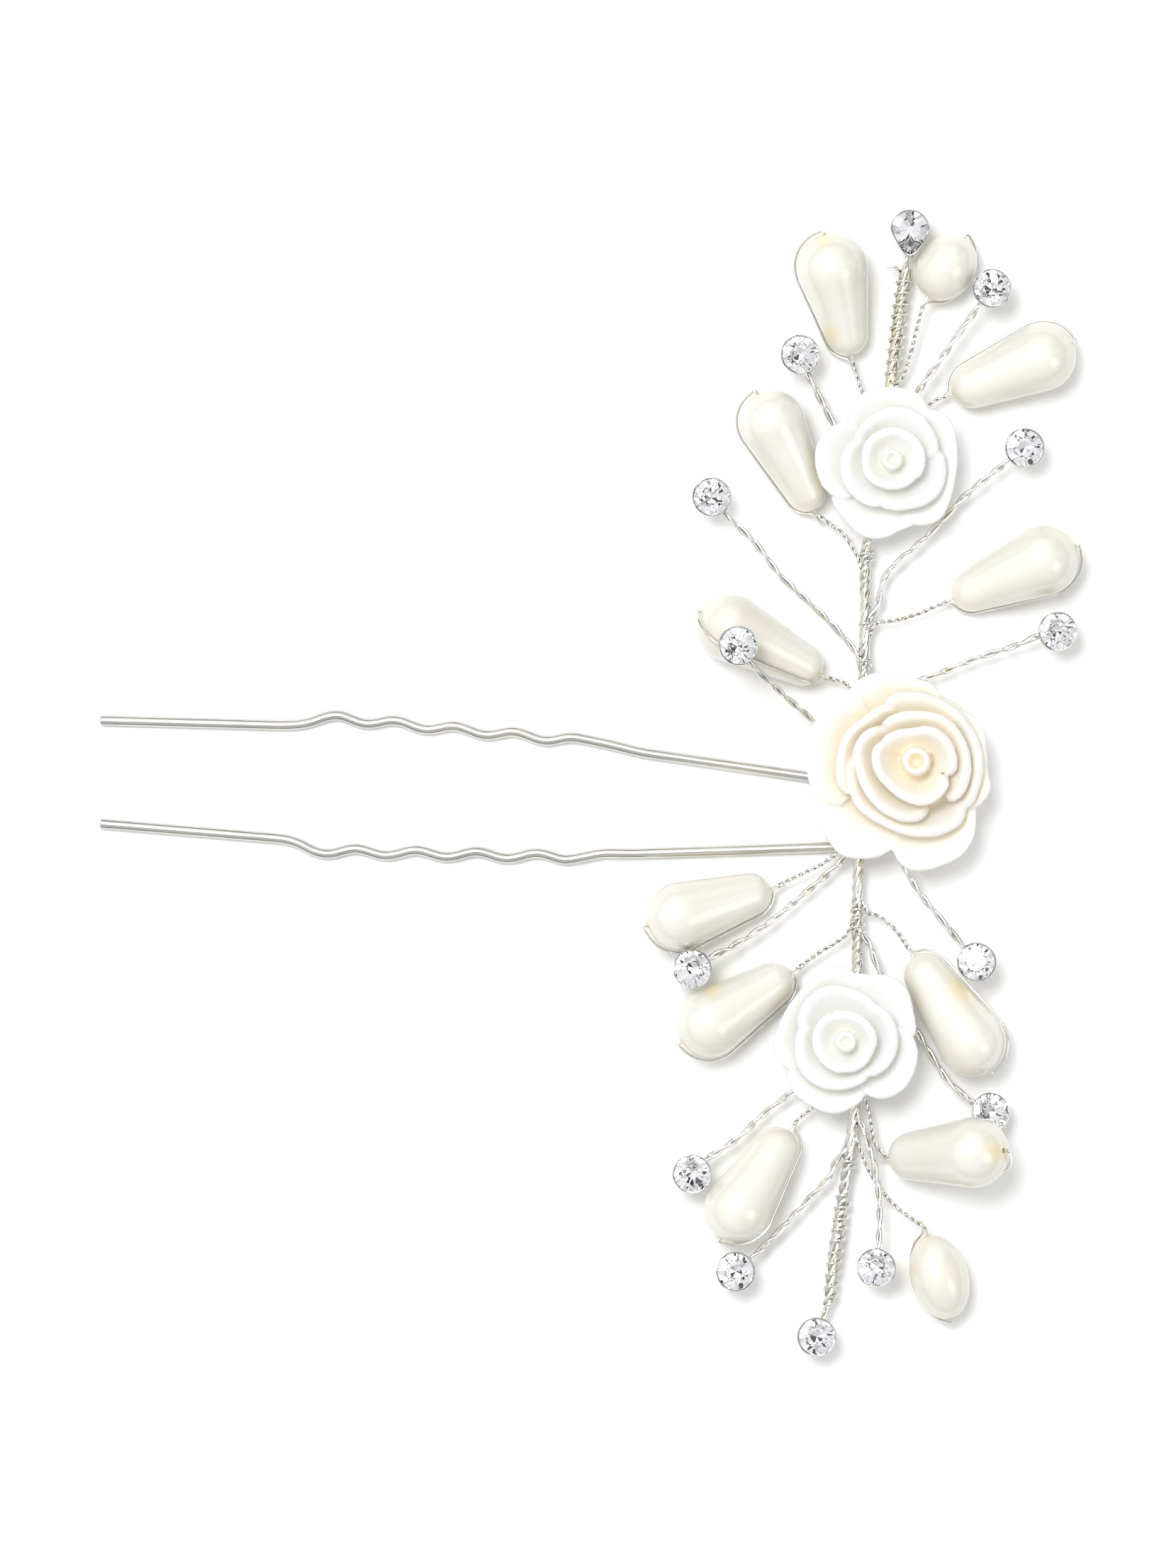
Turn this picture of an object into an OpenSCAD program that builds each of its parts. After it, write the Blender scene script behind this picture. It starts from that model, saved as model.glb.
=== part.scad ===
// Bridal hairpin: a crimped U-pin that carries a wired spray of resin roses, pearls and crystals.
// It lies on its back. X runs from the pin's tips towards the spray, Y along the spray, Z up.
// The origin is on the surface that it lies on, under the middle of the whole piece.

/* [Overall] */
// Length of the spray's wire spine, from end to end
spray_l = 105.6; // [95:0.1:150]
// Overall length of the hairpin, from its tips to its bend
pin_l = 79.8; // [66:0.1:110]

/* [Hairpin] */
// Diameter of the pin's wire
pin_d = 1.07; // [0.8:0.01:1.4]
// Radius of the U bend, to the middle of the wire
bend_r = 3.3; // [2.4:0.1:4.5]
// Height of a crimped wave, from trough to crest
wave_h = 0.62; // [0.2:0.01:1.2]
// Number of crimped waves in each leg
wave_n = 4; // [2:1:5]
// Chamfer on the cut tips
tip_chamfer = 0.12; // [0.05:0.01:0.3]

/* [Wires] */
// Diameter of the twisted spine
spine_d = 1.15; // [0.9:0.01:1.5]
// Diameter over the twisted pair behind a crystal
stem_d = 0.64; // [0.4:0.01:0.8]
// Diameter over the twisted pair behind a pearl
pearl_stem_d = 0.5; // [0.36:0.01:0.6]
// Diameter of the single strand that goes through a pearl
strand_d = 0.3; // [0.2:0.01:0.4]
// Thickness of the binding wire's layer
wrap_t = 0.22; // [0.15:0.01:0.35]
// Gap between the binding wire's layer and what it binds
wrap_gap = 0.1; // [0.08:0.01:0.15]
// Gap between the lashing at the pin's bend and the wires inside it
lash_gap = 0.3; // [0.25:0.01:0.5]
// Smallest gap between two separate wires
wire_gap = 0.05; // [0.03:0.01:0.1]

/* [Pearls] */
// Diameter of the hole drilled through a pearl
bore_d = 0.8; // [0.6:0.01:1.1]
// Gap between a pearl and the strand that returns along its outside
loop_gap = 0.16; // [0.1:0.01:0.3]
// Slack of the strand where it bends out of a pearl's round end
loop_slack = 0.3; // [0.2:0.01:0.6]

/* [Crystals] */
// Diameter of a round stone
stone_d = 3.64; // [3:0.01:4.4]
// Height of a stone's faceted top above its girdle
crown_h = 0.6; // [0.4:0.01:0.8]
// Depth of a stone's pointed back below its girdle
pavilion_h = 1.2; // [0.9:0.01:1.3]
// Wall of the metal cup around a stone
cup_wall = 0.15; // [0.1:0.01:0.25]
// Gap between a stone and its cup
stone_gap = 0.05; // [0.03:0.01:0.08]
// How far the pear-shaped stone's point is from the middle of its round end
pear_point = 2.7; // [2.3:0.01:3.2]

/* [Roses] */
// Width of the large rose
large_rose_d = 18.8; // [15:0.1:22]
// Height of the large rose
large_rose_h = 7.2; // [6:0.1:9]
// Width of a small rose
small_rose_d = 14.4; // [12:0.1:16]
// Height of a small rose
small_rose_h = 5.8; // [5:0.1:7]
// Thickness of the glue under a rose
glue_t = 0.5; // [0.3:0.01:0.8]

/* [Hidden] */

// Plan places are given for a spine of this length, and spread with it.
plan_l = 105.6;
k = spray_l / plan_l;

bend = [25.9, -3.2];
tip_x = bend.x + bend_r + pin_d / 2 - pin_l;
pin_side_gap = 0.03;
lift = wrap_t + 2 * pin_side_gap;
spine_z = lift + pin_d + pin_side_gap + spine_d / 2;
wrap_r = spine_d / 2 + wrap_gap + wrap_t;

// Middle of the waves' line: first wave, last wave, knee and slope of the tip, for each leg.
upper_leg = [[-1.6, 4.35], [-25.9, 6.65], [-31.3, 5.9], [-1, 0.027]];
lower_leg = [[-2.3, -7.55], [-27.0, -6.95], [-31.3, -5.7], [-1, 0.083]];

// The spine's plan, from its lower end to its upper end, as [y, x].
spine_plan = [
    [-53.2, 24.3], [-48.2, 24.9], [-43.1, 25.7], [-38.0, 26.4], [-33.3, 27.0],
    [-26.4, 27.2], [-19.2, 27.3], [-13.4, 27.2], [-7.8, 27.4], [-3.3, 27.5],
    [4.0, 27.8], [11.2, 27.9], [17.0, 28.1], [22.1, 28.0], [24.6, 28.3],
    [29.3, 29.0], [36.6, 30.1], [42.4, 30.9], [48.2, 31.6], [52.4, 32.2]
];
wrap_spans = [
    [-52.6, -48.3], [-48.1, -43.2], [-42.9, -41.6], [-39.2, -38.1], [-15.6, -14.9], [-14.6, -13.5],
    [-13.3, -12.3], [11.9, 12.6], [15.7, 16.4], [22.6, 23.8], [40.6, 42.3], [42.5, 48.1],
    [48.3, 51.8]
];

// Tear-shaped pearls: x and y of the narrow tip, heading of the round end, length, round end's
// width, narrow end's width, extra height, extra tilt, and the side where the strand returns.
tears = [
    [26.7, 43.6, 103, 12.8, 7.3, 4.3, 0, 0, -20],
    [36.9, 39.7, 22, 13.4, 7.0, 4.8, 0, 0, -15],
    [23.0, 27.9, 117, 13.3, 6.8, 4.2, 0, 0, -20],
    [37.0, 18.8, 23, 13.7, 7.3, 4.4, 0, 0, 200],
    [23.6, 11.1, 153, 14.0, 7.0, 4.4, 0, 0, 55],
    [18.4, -10.7, 197, 13.3, 7.0, 4.4, 0, 0, -10],
    [20.5, -19.3, 212, 13.4, 7.0, 4.5, 0, 0, -10],
    [33.0, -17.7, 304, 14.1, 7.0, 4.6, 0, 0, 15],
    [30.4, -38.2, 5, 13.3, 7.2, 5.0, 0.9, 24, 230],
    [20.3, -35.4, 237, 13.2, 7.1, 4.6, 0, 0, 25]
];
// Oval pearls, in the same order, with one width for both ends.
ovals = [
    [34.4, 49.5, 58, 7.2, 5.9, 5.9, 0, 0, 215],
    [34.4, -46.1, 286, 8.8, 5.9, 5.9, 0, 0, 215]
];

// Crystals: x and y of the middle, height of the girdle, turn, and lean about X and Y.
crystals = [
    [32.6, 56.4, 0, 0, 0, 0],
    [40.9, 50.3, 5.1, 10, -5, 4],
    [21.4, 43.6, 4.5, 31, 4, 6],
    [44.2, 34.1, 4.7, 22, 3, -3],
    [12.4, 29.1, 4.5, 5, -6, 5],
    [15.0, 13.9, 9.9, 17, -4, 7],
    [47.6, 15.4, 4.7, 38, 5, 4],
    [10.4, -18.9, 4.9, 26, 6, -7],
    [39.3, -18.2, 5.1, 14, -7, -6],
    [40.8, -33.5, 3.9, 8, -4, 12],
    [10.4, -39.8, 4.3, 35, 8, 3],
    [14.8, -49.7, 4.3, 19, -3, -4],
    [29.1, -49.3, 4.9, 3, 4, -6],
    [23.1, -56.4, 0, 29, 0, 0]
];

// Stems: where the wire leaves the spine, its side, and the places that it passes on the way.
crystal_stems = [
    [53, 0, []],
    [34.2, 1, [[31.4, 35.8, 2.1], [32.2, 37.8, 2.8], [33.9, 40.6, 3.0], [35.7, 43.1, 3.1],
        [37.2, 45.3, 3.2]]],
    [32.5, -1, [[26.2, 34.7, 2.2], [25.0, 36.3, 2.3], [23.8, 38.6, 2.4]]],
    [18.0, 1, [[30.0, 20.9, 2.2], [31.7, 22.8, 2.3], [33.9, 24.7, 2.4], [36.2, 27.1, 2.5],
        [38.3, 29.3, 2.6]]],
    [13.9, -1, [[24.5, 16.4, 2.2], [22.2, 18.6, 2.3], [19.4, 21.2, 2.4], [16.6, 24.7, 2.5]]],
    [2.6, -1, [[25.2, 4.3, 2.3], [22.8, 6.3, 3.4], [20.5, 8.2, 5.0], [18.7, 9.8, 6.6]]],
    [8.3, 1, [[31.4, 9.7, 2.2], [33.4, 10.4, 2.3], [36.0, 11.3, 2.4], [38.3, 12.3, 2.5],
        [41.2, 13.3, 2.6], [43.4, 14.0, 2.7]]],
    [-7.5, -1, [[24.9, -8.7, 2.1], [21.6, -11.5, 2.3], [18.2, -14.3, 2.5], [14.6, -16.6, 2.8]]],
    [-2.0, 1, [[30.0, -5.2, 2.1], [31.2, -7.1, 2.5], [32.5, -9.4, 2.9], [33.9, -11.6, 3.0],
        [36.1, -14.3, 3.1]]],
    [-16.5, 1, [[29.6, -19.4, 2.0], [31.3, -22.0, 1.9], [32.7, -24.2, 1.8], [34.4, -27.1, 1.7],
        [36.4, -30.2, 1.8]]],
    [-27.4, -1, [[23.5, -29.4, 2.1], [20.2, -31.8, 2.2], [17.2, -34.2, 2.3], [15.1, -36.2, 2.4]]],
    [-38.6, -1, [[24.4, -40.2, 2.1], [22.8, -41.9, 2.2], [20.9, -44.0, 2.3], [19.0, -46.0, 2.4]]],
    [-35.4, 1, [[28.5, -37.2, 2.8], [29.1, -39.6, 3.0], [29.5, -43.0, 3.1]]],
    [-54, 0, []]
];
tear_stems = [
    [36.8, -1, [[28.0, 39.3, 2.1], [27.3, 41.2, 2.0]]],
    [31.0, 1, [[32.3, 34.7, 2.1], [33.6, 37.2, 2.1], [34.9, 38.8, 2.0]]],
    [23.6, -1, [[25.9, 25.3, 2.1], [24.5, 26.4, 2.0]]],
    [16.3, 1, [[31.2, 16.6, 2.1], [33.6, 17.3, 2.0]]],
    [9.6, -1, [[25.8, 10.3, 2.1]]],
    [-6.0, -1, [[25.2, -7.2, 2.1], [23.6, -8.3, 2.1], [21.4, -9.4, 2.1]]],
    [-15.6, -1, [[25.0, -16.3, 2.1], [23.4, -17.3, 2.1]]],
    [-13.2, 1, [[29.6, -13.7, 2.1], [31.2, -15.0, 2.1]]],
    [-32.6, 1, [[28.7, -34.8, 2.1], [29.0, -36.6, 1.9]]],
    [-30.6, -1, [[24.4, -32.0, 2.1], [22.4, -33.4, 2.1]]]
];
oval_stems = [
    [41.6, 1, [[32.6, 43.4, 2.2], [33.2, 45.8, 2.4]]],
    [-37.5, 1, [[28.4, -39.4, 2.0], [29.6, -41.3, 2.1], [31.2, -43.2, 2.4]]]
];

// Roses: middle in plan, turn, and each outer petal's share of the full radius.
rose_large = [31.2, 1.2];
rose_upper = [30.1, 31.9];
rose_lower = [25.7, -26.6];
petal_shares = [1, 0.95, 1.0, 0.93, 0.98];

stone_r = stone_d / 2;
// Size of a crystal that the plan is drawn for.
plan_stone_d = 3.64;
cup_r = stone_r + stone_gap + cup_wall;
seat_bottom = pavilion_h + 3 * stone_gap;
channel_r = stem_d / 2 + wire_gap;
channel_z = seat_bottom + cup_wall + channel_r;
cup_h = channel_z + channel_r + cup_wall;
rim_h = 0.12;
end_girdle_z = spine_z + channel_z;
rose_z = spine_z + spine_d / 2 + pin_side_gap + glue_t + pin_side_gap;
pair_n = 8;
strand_n = 6;
round_n = 48;

tear_names = ["teardrop_pearl_01", "teardrop_pearl_02", "teardrop_pearl_03", "teardrop_pearl_04",
    "teardrop_pearl_05", "teardrop_pearl_06", "teardrop_pearl_07", "teardrop_pearl_08",
    "teardrop_pearl_09", "teardrop_pearl_10"];
oval_names = ["oval_pearl_01", "oval_pearl_02"];
tear_wire_names = ["teardrop_wire_01", "teardrop_wire_02", "teardrop_wire_03", "teardrop_wire_04",
    "teardrop_wire_05", "teardrop_wire_06", "teardrop_wire_07", "teardrop_wire_08",
    "teardrop_wire_09", "teardrop_wire_10"];
oval_wire_names = ["oval_wire_01", "oval_wire_02"];
crystal_names = ["crystal_01", "crystal_02", "crystal_03", "crystal_04", "crystal_05",
    "crystal_06", "crystal_07", "crystal_08", "crystal_09", "crystal_10", "crystal_11",
    "crystal_12", "crystal_13", "crystal_14"];
stem_names = ["crystal_stem_01", "crystal_stem_02", "crystal_stem_03", "crystal_stem_04",
    "crystal_stem_05", "crystal_stem_06", "crystal_stem_07", "crystal_stem_08",
    "crystal_stem_09", "crystal_stem_10", "crystal_stem_11", "crystal_stem_12",
    "crystal_stem_13", "crystal_stem_14"];

// ---- Vectors ----

function unit(v) = v / norm(v);

// Turns v about X by a.x, then about Y by a.y, as rotate([a.x, a.y, 0]) does.
function lean(v, a) =
    let (p = [v.x, v.y * cos(a.x) - v.z * sin(a.x), v.y * sin(a.x) + v.z * cos(a.x)])
    [p.x * cos(a.y) + p.z * sin(a.y), p.y, p.z * cos(a.y) - p.x * sin(a.y)];

// ---- Swept wires ----

// One point of a smooth curve through b and c, with neighbours a and d.
function between(a, b, c, d, t) =
    b + t / 2 * ((c - a) + t * ((2 * a - 5 * b + 4 * c - d) + t * (3 * b - a - 3 * c + d)));

// A smooth curve through the points p, with n steps from each to the next.
function smooth(p, n) =
    let (last = len(p) - 1)
    [for (i = [0 : last - 1], j = [0 : n - 1])
        between(p[max(i - 1, 0)], p[i], p[i + 1], p[min(i + 2, last)], j / n), p[last]];

function tangents(p) =
    let (last = len(p) - 1)
    [for (i = [0 : last]) unit(p[min(i + 1, last)] - p[max(i - 1, 0)])];

// v, brought square to the unit vector t.
function square_to(v, t) = unit(v - (v * t) * t);

// Side vectors along a path, carried from ring to ring so that the tube doesn't twist.
function sides(t, start) =
    [for (i = 0, s = square_to(start, t[0]); i < len(t);
        i = i + 1, s = i < len(t) ? square_to(s, t[i]) : s) s];

// A tube along the path p, with radius r[i] at each point and n sides.
module tube(p, r, n, start = [0, 0, 1]) {
    t = tangents(p);
    s = sides(t, start);
    m = len(p);
    points = [for (i = [0 : m - 1], j = [0 : n - 1])
        p[i] + r[i] * (cos(360 * j / n) * s[i] + sin(360 * j / n) * cross(s[i], t[i]))];
    walls = [for (i = [0 : m - 2], j = [0 : n - 1])
        let (a = i * n + j, b = i * n + (j + 1) % n)
        [a, b, b + n, a + n]];
    near_cap = [for (j = [n - 1 : -1 : 0]) j];
    far_cap = [for (j = [0 : n - 1]) (m - 1) * n + j];
    polyhedron(points, concat([near_cap], walls, [far_cap]));
}

// ---- Plan ----

function spread(p) = [p.x + (k - 1) * (p.x - bend.x), p.y * k, p.z];

// The spine's middle line at the height y of the plan, in its real place.
function on_spine(y) = spread([lookup(y, spine_plan), y, spine_z]);

// Where a stem of diameter d leaves the spine, on the side s.
function root(y, s, d) = on_spine(y) + [s * (wrap_r + wire_gap + d / 2), 0, 0];

function via(stem, d) =
    concat([root(stem[0], stem[1], d)], [for (p = stem[2]) spread(p)]);

// Angle round the bend, from X, where the spine lies across it, and the crossing on the side s.
crossing_a = acos((on_spine(bend.y / k).x - bend.x) / bend_r);
function crossing(s) =
    let (y = bend.y + s * bend_r * sin(crossing_a))
    [on_spine(y / k).x, y, 0];

// ---- Hairpin ----

function pin_z(x) = pin_d / 2 + lift * (x - tip_x) / (bend.x - tip_x);

function with_z(p) = [p.x, p.y, pin_z(p.x)];

function tip_end(leg) = leg[2] + (leg[2].x - tip_x) * leg[3];

// The crimped waves, from the bend's side to the knee.
function waves(leg, side) =
    [for (i = [0 : 6 * wave_n])
        let (s = i / (6 * wave_n))
        leg[0] + s * (leg[1] - leg[0]) + [0, side * wave_h / 2 * cos(360 * wave_n * s)]];

// One leg from the bend to a little way into its tip.
function leg_path(leg, side) =
    concat(smooth([leg[0] + [7, -side * (side > 0 ? 1.25 : 0.35)], leg[0] + [3.6, -side * 0.4]], 2),
        waves(leg, side),
        smooth([leg[1] + [-3.1, side * -0.42], leg[2] + 0.4 * leg[3], leg[2] + 1.2 * leg[3]], 3));

function bend_path() =
    [for (a = [81 : -13.5 : -88]) bend + bend_r * [cos(a), sin(a)]];

function pin_path() =
    let (up = leg_path(upper_leg, 1), low = leg_path(lower_leg, -1))
    concat([for (i = [len(up) - 1 : -1 : 0]) up[i]], bend_path(), low);

module pin_tip(leg) {
    from = with_z(tip_end(leg));
    to = with_z(leg[2]);
    d = to - from;
    l = norm(d);
    r = pin_d / 2;
    translate(from)
        rotate([0, acos(d.z / l), atan2(d.y, d.x)])
            rotate_extrude($fn = round_n)
                polygon([[0, 0], [r - tip_chamfer, 0], [r, tip_chamfer], [r, l], [0, l]]);
}

module hairpin() {
    path = [for (p = pin_path()) with_z(p)];
    crimped_r = pin_d / 2 - 0.01;
    color("silver") {
        tube(path, [for (p = path) crimped_r], 10);
        pin_tip(upper_leg);
        pin_tip(lower_leg);
    }
}

// ---- Spine and binding ----

module spine() {
    path = [for (q = spine_plan) on_spine(q[0])];
    color("gainsboro") tube(path, [for (p = path) spine_d / 2], 10);
}

module sleeve(a, b, r_in, r_out) {
    d = b - a;
    l = norm(d);
    translate(a)
        rotate([0, acos(d.z / l), atan2(d.y, d.x)])
            rotate_extrude($fn = round_n)
                polygon([[r_in, 0], [r_out, 0], [r_out, l], [r_in, l]]);
}

module spine_wrap() {
    color("gainsboro")
        for (s = wrap_spans)
            sleeve(on_spine(s[0]), on_spine(s[1]), wrap_r - wrap_t, wrap_r);
}

// A band of binding wire that stands upright around two crossed wires.
module band(low, high, half, t, w) {
    rotate([90, 0, 0])
        linear_extrude(height = w, center = true)
            difference() {
                slot_2d(low, high, half + t);
                slot_2d(low, high, half);
            }
}

module slot_2d(low, high, r) {
    translate([0, low]) circle(r, $fn = round_n);
    translate([0, high]) circle(r, $fn = round_n);
    translate([-r, low]) square([2 * r, high - low]);
}

module pin_lashing() {
    band_w = 0.5;
    turn = crossing_a / 2;
    half = max(pin_d, spine_d) / 2 / cos(turn) + band_w / 2 * tan(turn) + lash_gap;
    low = lift - pin_side_gap + half;
    high = spine_z + spine_d / 2 + pin_side_gap - half;
    color("gainsboro")
        for (s = [-1, 1])
            translate(crossing(s))
                rotate([0, 0, s * turn])
                    band(low, high, half, wrap_t, band_w);
}

// ---- Pearls ----

// Distance between the middles of a pearl's two round ends.
function tear_span(p) = p[3] - p[4] / 2 - p[5] / 2;

// Lying flat, a tear-shaped pearl rests on both of its ends.
function tear_tilt(p) = asin((p[4] - p[5]) / 2 / tear_span(p)) + p[7];

function pearl_dir(p, tilt) = [cos(tilt) * cos(p[2]), cos(tilt) * sin(p[2]), sin(tilt)];

// Middle of the narrow end.
function narrow_at(p) =
    let (t = spread([p[0], p[1], p[5] / 2 + p[6]]))
    t + p[5] / 2 * [cos(p[2]), sin(p[2]), 0];

// Half outline of a tear shape along its axis: narrow tip first, as [distance, radius].
function tear_profile(p) =
    let (r = p[5] / 2, big = p[4] / 2, span = tear_span(p), a = asin((big - r) / span), n = 10)
    concat([for (i = [0 : n]) r * [1 - cos((90 + a) * 0 + (90 - a) * i / n), sin((90 - a) * i / n)]],
        [for (i = [0 : n])
            let (u = 90 - a + (90 + a) * i / n)
            [r + span - big * cos(u), big * sin(u)]]);

// Half outline of an oval.
function oval_profile(p) =
    [for (i = [0 : 20]) [p[3] / 2 * (1 - cos(9 * i)), p[4] / 2 * sin(9 * i)]];

// A drilled pearl with its narrow tip at a and its axis along d.
module pearl(a, d, profile) {
    bore_r = bore_d / 2;
    inside = [for (q = profile) if (q[1] > bore_r) q];
    first = inside[0];
    last = inside[len(inside) - 1];
    outline = concat([[bore_r, first[0]]], [for (q = inside) [q[1], q[0]]], [[bore_r, last[0]]]);
    color("ivory")
        translate(a)
            rotate([0, acos(d.z), atan2(d.y, d.x)])
                rotate_extrude($fn = round_n) polygon(outline);
}

module tear_pearl(i) {
    p = tears[i];
    d = pearl_dir(p, tear_tilt(p));
    pearl(narrow_at(p) - p[5] / 2 * d, d, tear_profile(p));
}

function oval_tip(p) = spread([p[0], p[1], p[4] / 2]);

module oval_pearl(i) {
    p = ovals[i];
    pearl(oval_tip(p), pearl_dir(p, 0), oval_profile(p));
}

// The strand around a pearl: out of the bore's far end, round to the side s and back.
function around(a, d, s, profile, off) =
    let (n = len(profile), t = [for (i = [0 : n - 1])
            profile[min(i + 1, n - 1)] - profile[max(i - 1, 0)]])
    [for (i = [n - 3 : -2 : 3])
        let (out = unit([-t[i][1], t[i][0]]), q = profile[i] + off * out)
        a + q[0] * d + q[1] * s];

// A pearl's wire: twisted stem, then one strand through the bore, round the pearl and back.
module pearl_wire(stem, a, d, side, profile, l) {
    across = unit([-d.y, d.x, 0]);
    s = cos(side) * across + sin(side) * cross(d, across);
    sr = strand_d / 2;
    pr = pearl_stem_d / 2;
    off = loop_gap + sr;
    stem_path = smooth(concat(via(stem, pearl_stem_d), [a - 0.75 * d]), 3);
    through = [a - 0.45 * d, a, a + l / 2 * d, a + l * d, a + (l + 0.6 * loop_slack) * d,
        a + (l + loop_slack) * d + 0.3 * s];
    back = around(a, d, s, profile, off);
    tail = [a - 0.3 * d + (pr + sr + 0.45) * s, a - 0.8 * d + (pr + sr + wire_gap) * s];
    path = concat(stem_path, through, back, tail);
    r = concat([for (p = stem_path) pr], [for (i = [1 : len(path) - len(stem_path)]) sr]);
    color("silver") tube(path, r, strand_n);
}

module tear_wire(i) {
    p = tears[i];
    d = pearl_dir(p, tear_tilt(p));
    pearl_wire(tear_stems[i], narrow_at(p) - p[5] / 2 * d, d, p[8], tear_profile(p), p[3]);
}

module oval_wire(i) {
    p = ovals[i];
    pearl_wire(oval_stems[i], oval_tip(p), pearl_dir(p, 0), p[8], oval_profile(p), p[3]);
}

// ---- Crystals ----

// The way in which a crystal beside a pearl moves off it as it grows past its size in the plan.
function stone_way(i) = i == 0 || i == 9 ? [0, 1, 0] : i == 7 ? [0, 0, 1] : [0, 0, 0];

function seat(i) =
    let (c = crystals[i])
    spread([c[0], c[1], c[2] == 0 ? end_girdle_z : c[2]]) + (stone_d - plan_stone_d) * stone_way(i);

function seat_lean(i) = [crystals[i][4], crystals[i][5]];

// The spine's end next to the crystal i, a gap away from the spine itself.
function spine_end(i) =
    let (last = len(spine_plan) - 1, up = i == 0,
        a = on_spine(spine_plan[up ? last : 0][0]), b = on_spine(spine_plan[up ? last - 1 : 1][0]))
    a + 4 * wire_gap * unit(a - b);

function stem_start(i) =
    crystal_stems[i][1] == 0 ? [spine_end(i)] : via(crystal_stems[i], stem_d);

// Heading of the wire where it reaches the crystal.
function stem_heading(i) =
    let (s = stem_start(i), d = seat(i) - s[len(s) - 1])
    unit([d.x, d.y, 0]);

// A place under the stone, in its cup's own frame, brought to its real place.
function in_cup(i, v) = seat(i) + lean(v, seat_lean(i));

// How far a cup reaches from its middle towards its stem.
function cup_reach(i) = i == 0 ? pear_point + 1.3 * (stone_gap + cup_wall) : cup_r;

module stem_wire(i) {
    h = stem_heading(i);
    from = in_cup(i, [0, 0, -channel_z] - (cup_reach(i) + 0.2) * h);
    to = in_cup(i, [0, 0, -channel_z] + 0.8 * stone_r * h);
    path = concat(smooth(concat(stem_start(i), [from]), 3), [to]);
    tube(path, [for (p = path) stem_d / 2], pair_n);
}

module channel(i) {
    h = stem_heading(i);
    translate([0, 0, -channel_z])
        rotate([0, 90, atan2(h.y, h.x)])
            cylinder(h = 4 * cup_r, r = channel_r, center = true, $fn = 32);
}

module round_cup(i) {
    pocket_r = stone_r + stone_gap;
    base_r = 0.62 * cup_r;
    difference() {
        rotate_extrude($fn = round_n)
            polygon([[0, -cup_h], [base_r, -cup_h], [cup_r, -0.35], [cup_r, rim_h],
                [pocket_r, rim_h], [pocket_r, -2.5 * stone_gap], [0.4, -seat_bottom],
                [0, -seat_bottom]]);
        channel(i);
    }
}

// A pear outline: a round end of radius r at the middle, and a point at the distance p.
module pear_2d(r, p) {
    b = acos(r / p);
    circle(r, $fn = round_n);
    polygon([[r * sin(b), -r * cos(b)], [0, -p], [-r * sin(b), -r * cos(b)], [0, 0]]);
}

module pear_cup(i) {
    difference() {
        translate([0, 0, -cup_h])
            linear_extrude(height = cup_h + rim_h)
                pear_2d(cup_r, pear_point + 1.3 * (stone_gap + cup_wall));
        translate([0, 0, -seat_bottom])
            linear_extrude(height = seat_bottom + 1)
                pear_2d(stone_r + stone_gap, pear_point + 1.3 * stone_gap);
        channel(i);
    }
}

module place(i) {
    a = seat_lean(i);
    translate(seat(i)) rotate([a.x, a.y, 0]) children();
}

module crystal_stem(i) {
    color("silver") {
        stem_wire(i);
        place(i) {
            if (i == 0) pear_cup(i);
            else round_cup(i);
        }
    }
}

// A round cut stone: table, stars, kites, girdle, and a pointed back with mains and halves.
module round_stone() {
    n = 8;
    girdle_h = 0.07;
    table_r = 0.55 * stone_r;
    star_r = 0.8 * stone_r;
    star_z = crown_h * (stone_r - star_r * cos(180 / n)) / (stone_r - table_r);
    half_r = 0.42 * stone_r;
    half_z = -pavilion_h + (pavilion_h - girdle_h) * half_r * cos(180 / n) / stone_r;
    function ring(r, z, m, off) = [for (i = [0 : m - 1])
        [r * cos(360 * (i + off) / m), r * sin(360 * (i + off) / m), z]];
    table = ring(table_r, crown_h, n, 0);
    stars = ring(star_r, star_z, n, 0.5);
    top = ring(stone_r, 0, 2 * n, 0);
    low = ring(stone_r, -girdle_h, 2 * n, 0);
    halves = ring(half_r, half_z, n, 0.5);
    points = concat(table, stars, top, low, halves, [[0, 0, -pavilion_h]]);
    s = n;
    g = 2 * n;
    l = 4 * n;
    h = 6 * n;
    tip = 7 * n;
    faces = concat(
        [[for (i = [n - 1 : -1 : 0]) i]],
        [for (i = [0 : n - 1]) [i, (i + 1) % n, s + i]],
        [for (i = [0 : n - 1]) [i, s + i, g + 2 * i]],
        [for (i = [0 : n - 1]) [i, g + 2 * i, s + (i + n - 1) % n]],
        [for (i = [0 : n - 1]) [s + i, g + 2 * i + 1, g + 2 * i]],
        [for (i = [0 : n - 1]) [s + i, g + (2 * i + 2) % (2 * n), g + 2 * i + 1]],
        [for (i = [0 : 2 * n - 1]) [g + i, g + (i + 1) % (2 * n), l + (i + 1) % (2 * n), l + i]],
        [for (i = [0 : n - 1]) [l + 2 * i, l + 2 * i + 1, h + i]],
        [for (i = [0 : n - 1]) [l + 2 * i + 1, l + (2 * i + 2) % (2 * n), h + i]],
        [for (i = [0 : n - 1]) [l + 2 * i, h + i, tip]],
        [for (i = [0 : n - 1]) [l + 2 * i, tip, h + (i + n - 1) % n]]);
    polyhedron(points, faces);
}

// Outline points of the pear-shaped stone.
function pear_outline() =
    let (b = acos(stone_r / pear_point), n = 12)
    concat([for (i = [0 : n]) let (a = -90 + b + (360 - 2 * b) * i / n)
        stone_r * [cos(a), sin(a)]], [[0, -pear_point]]);

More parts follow.
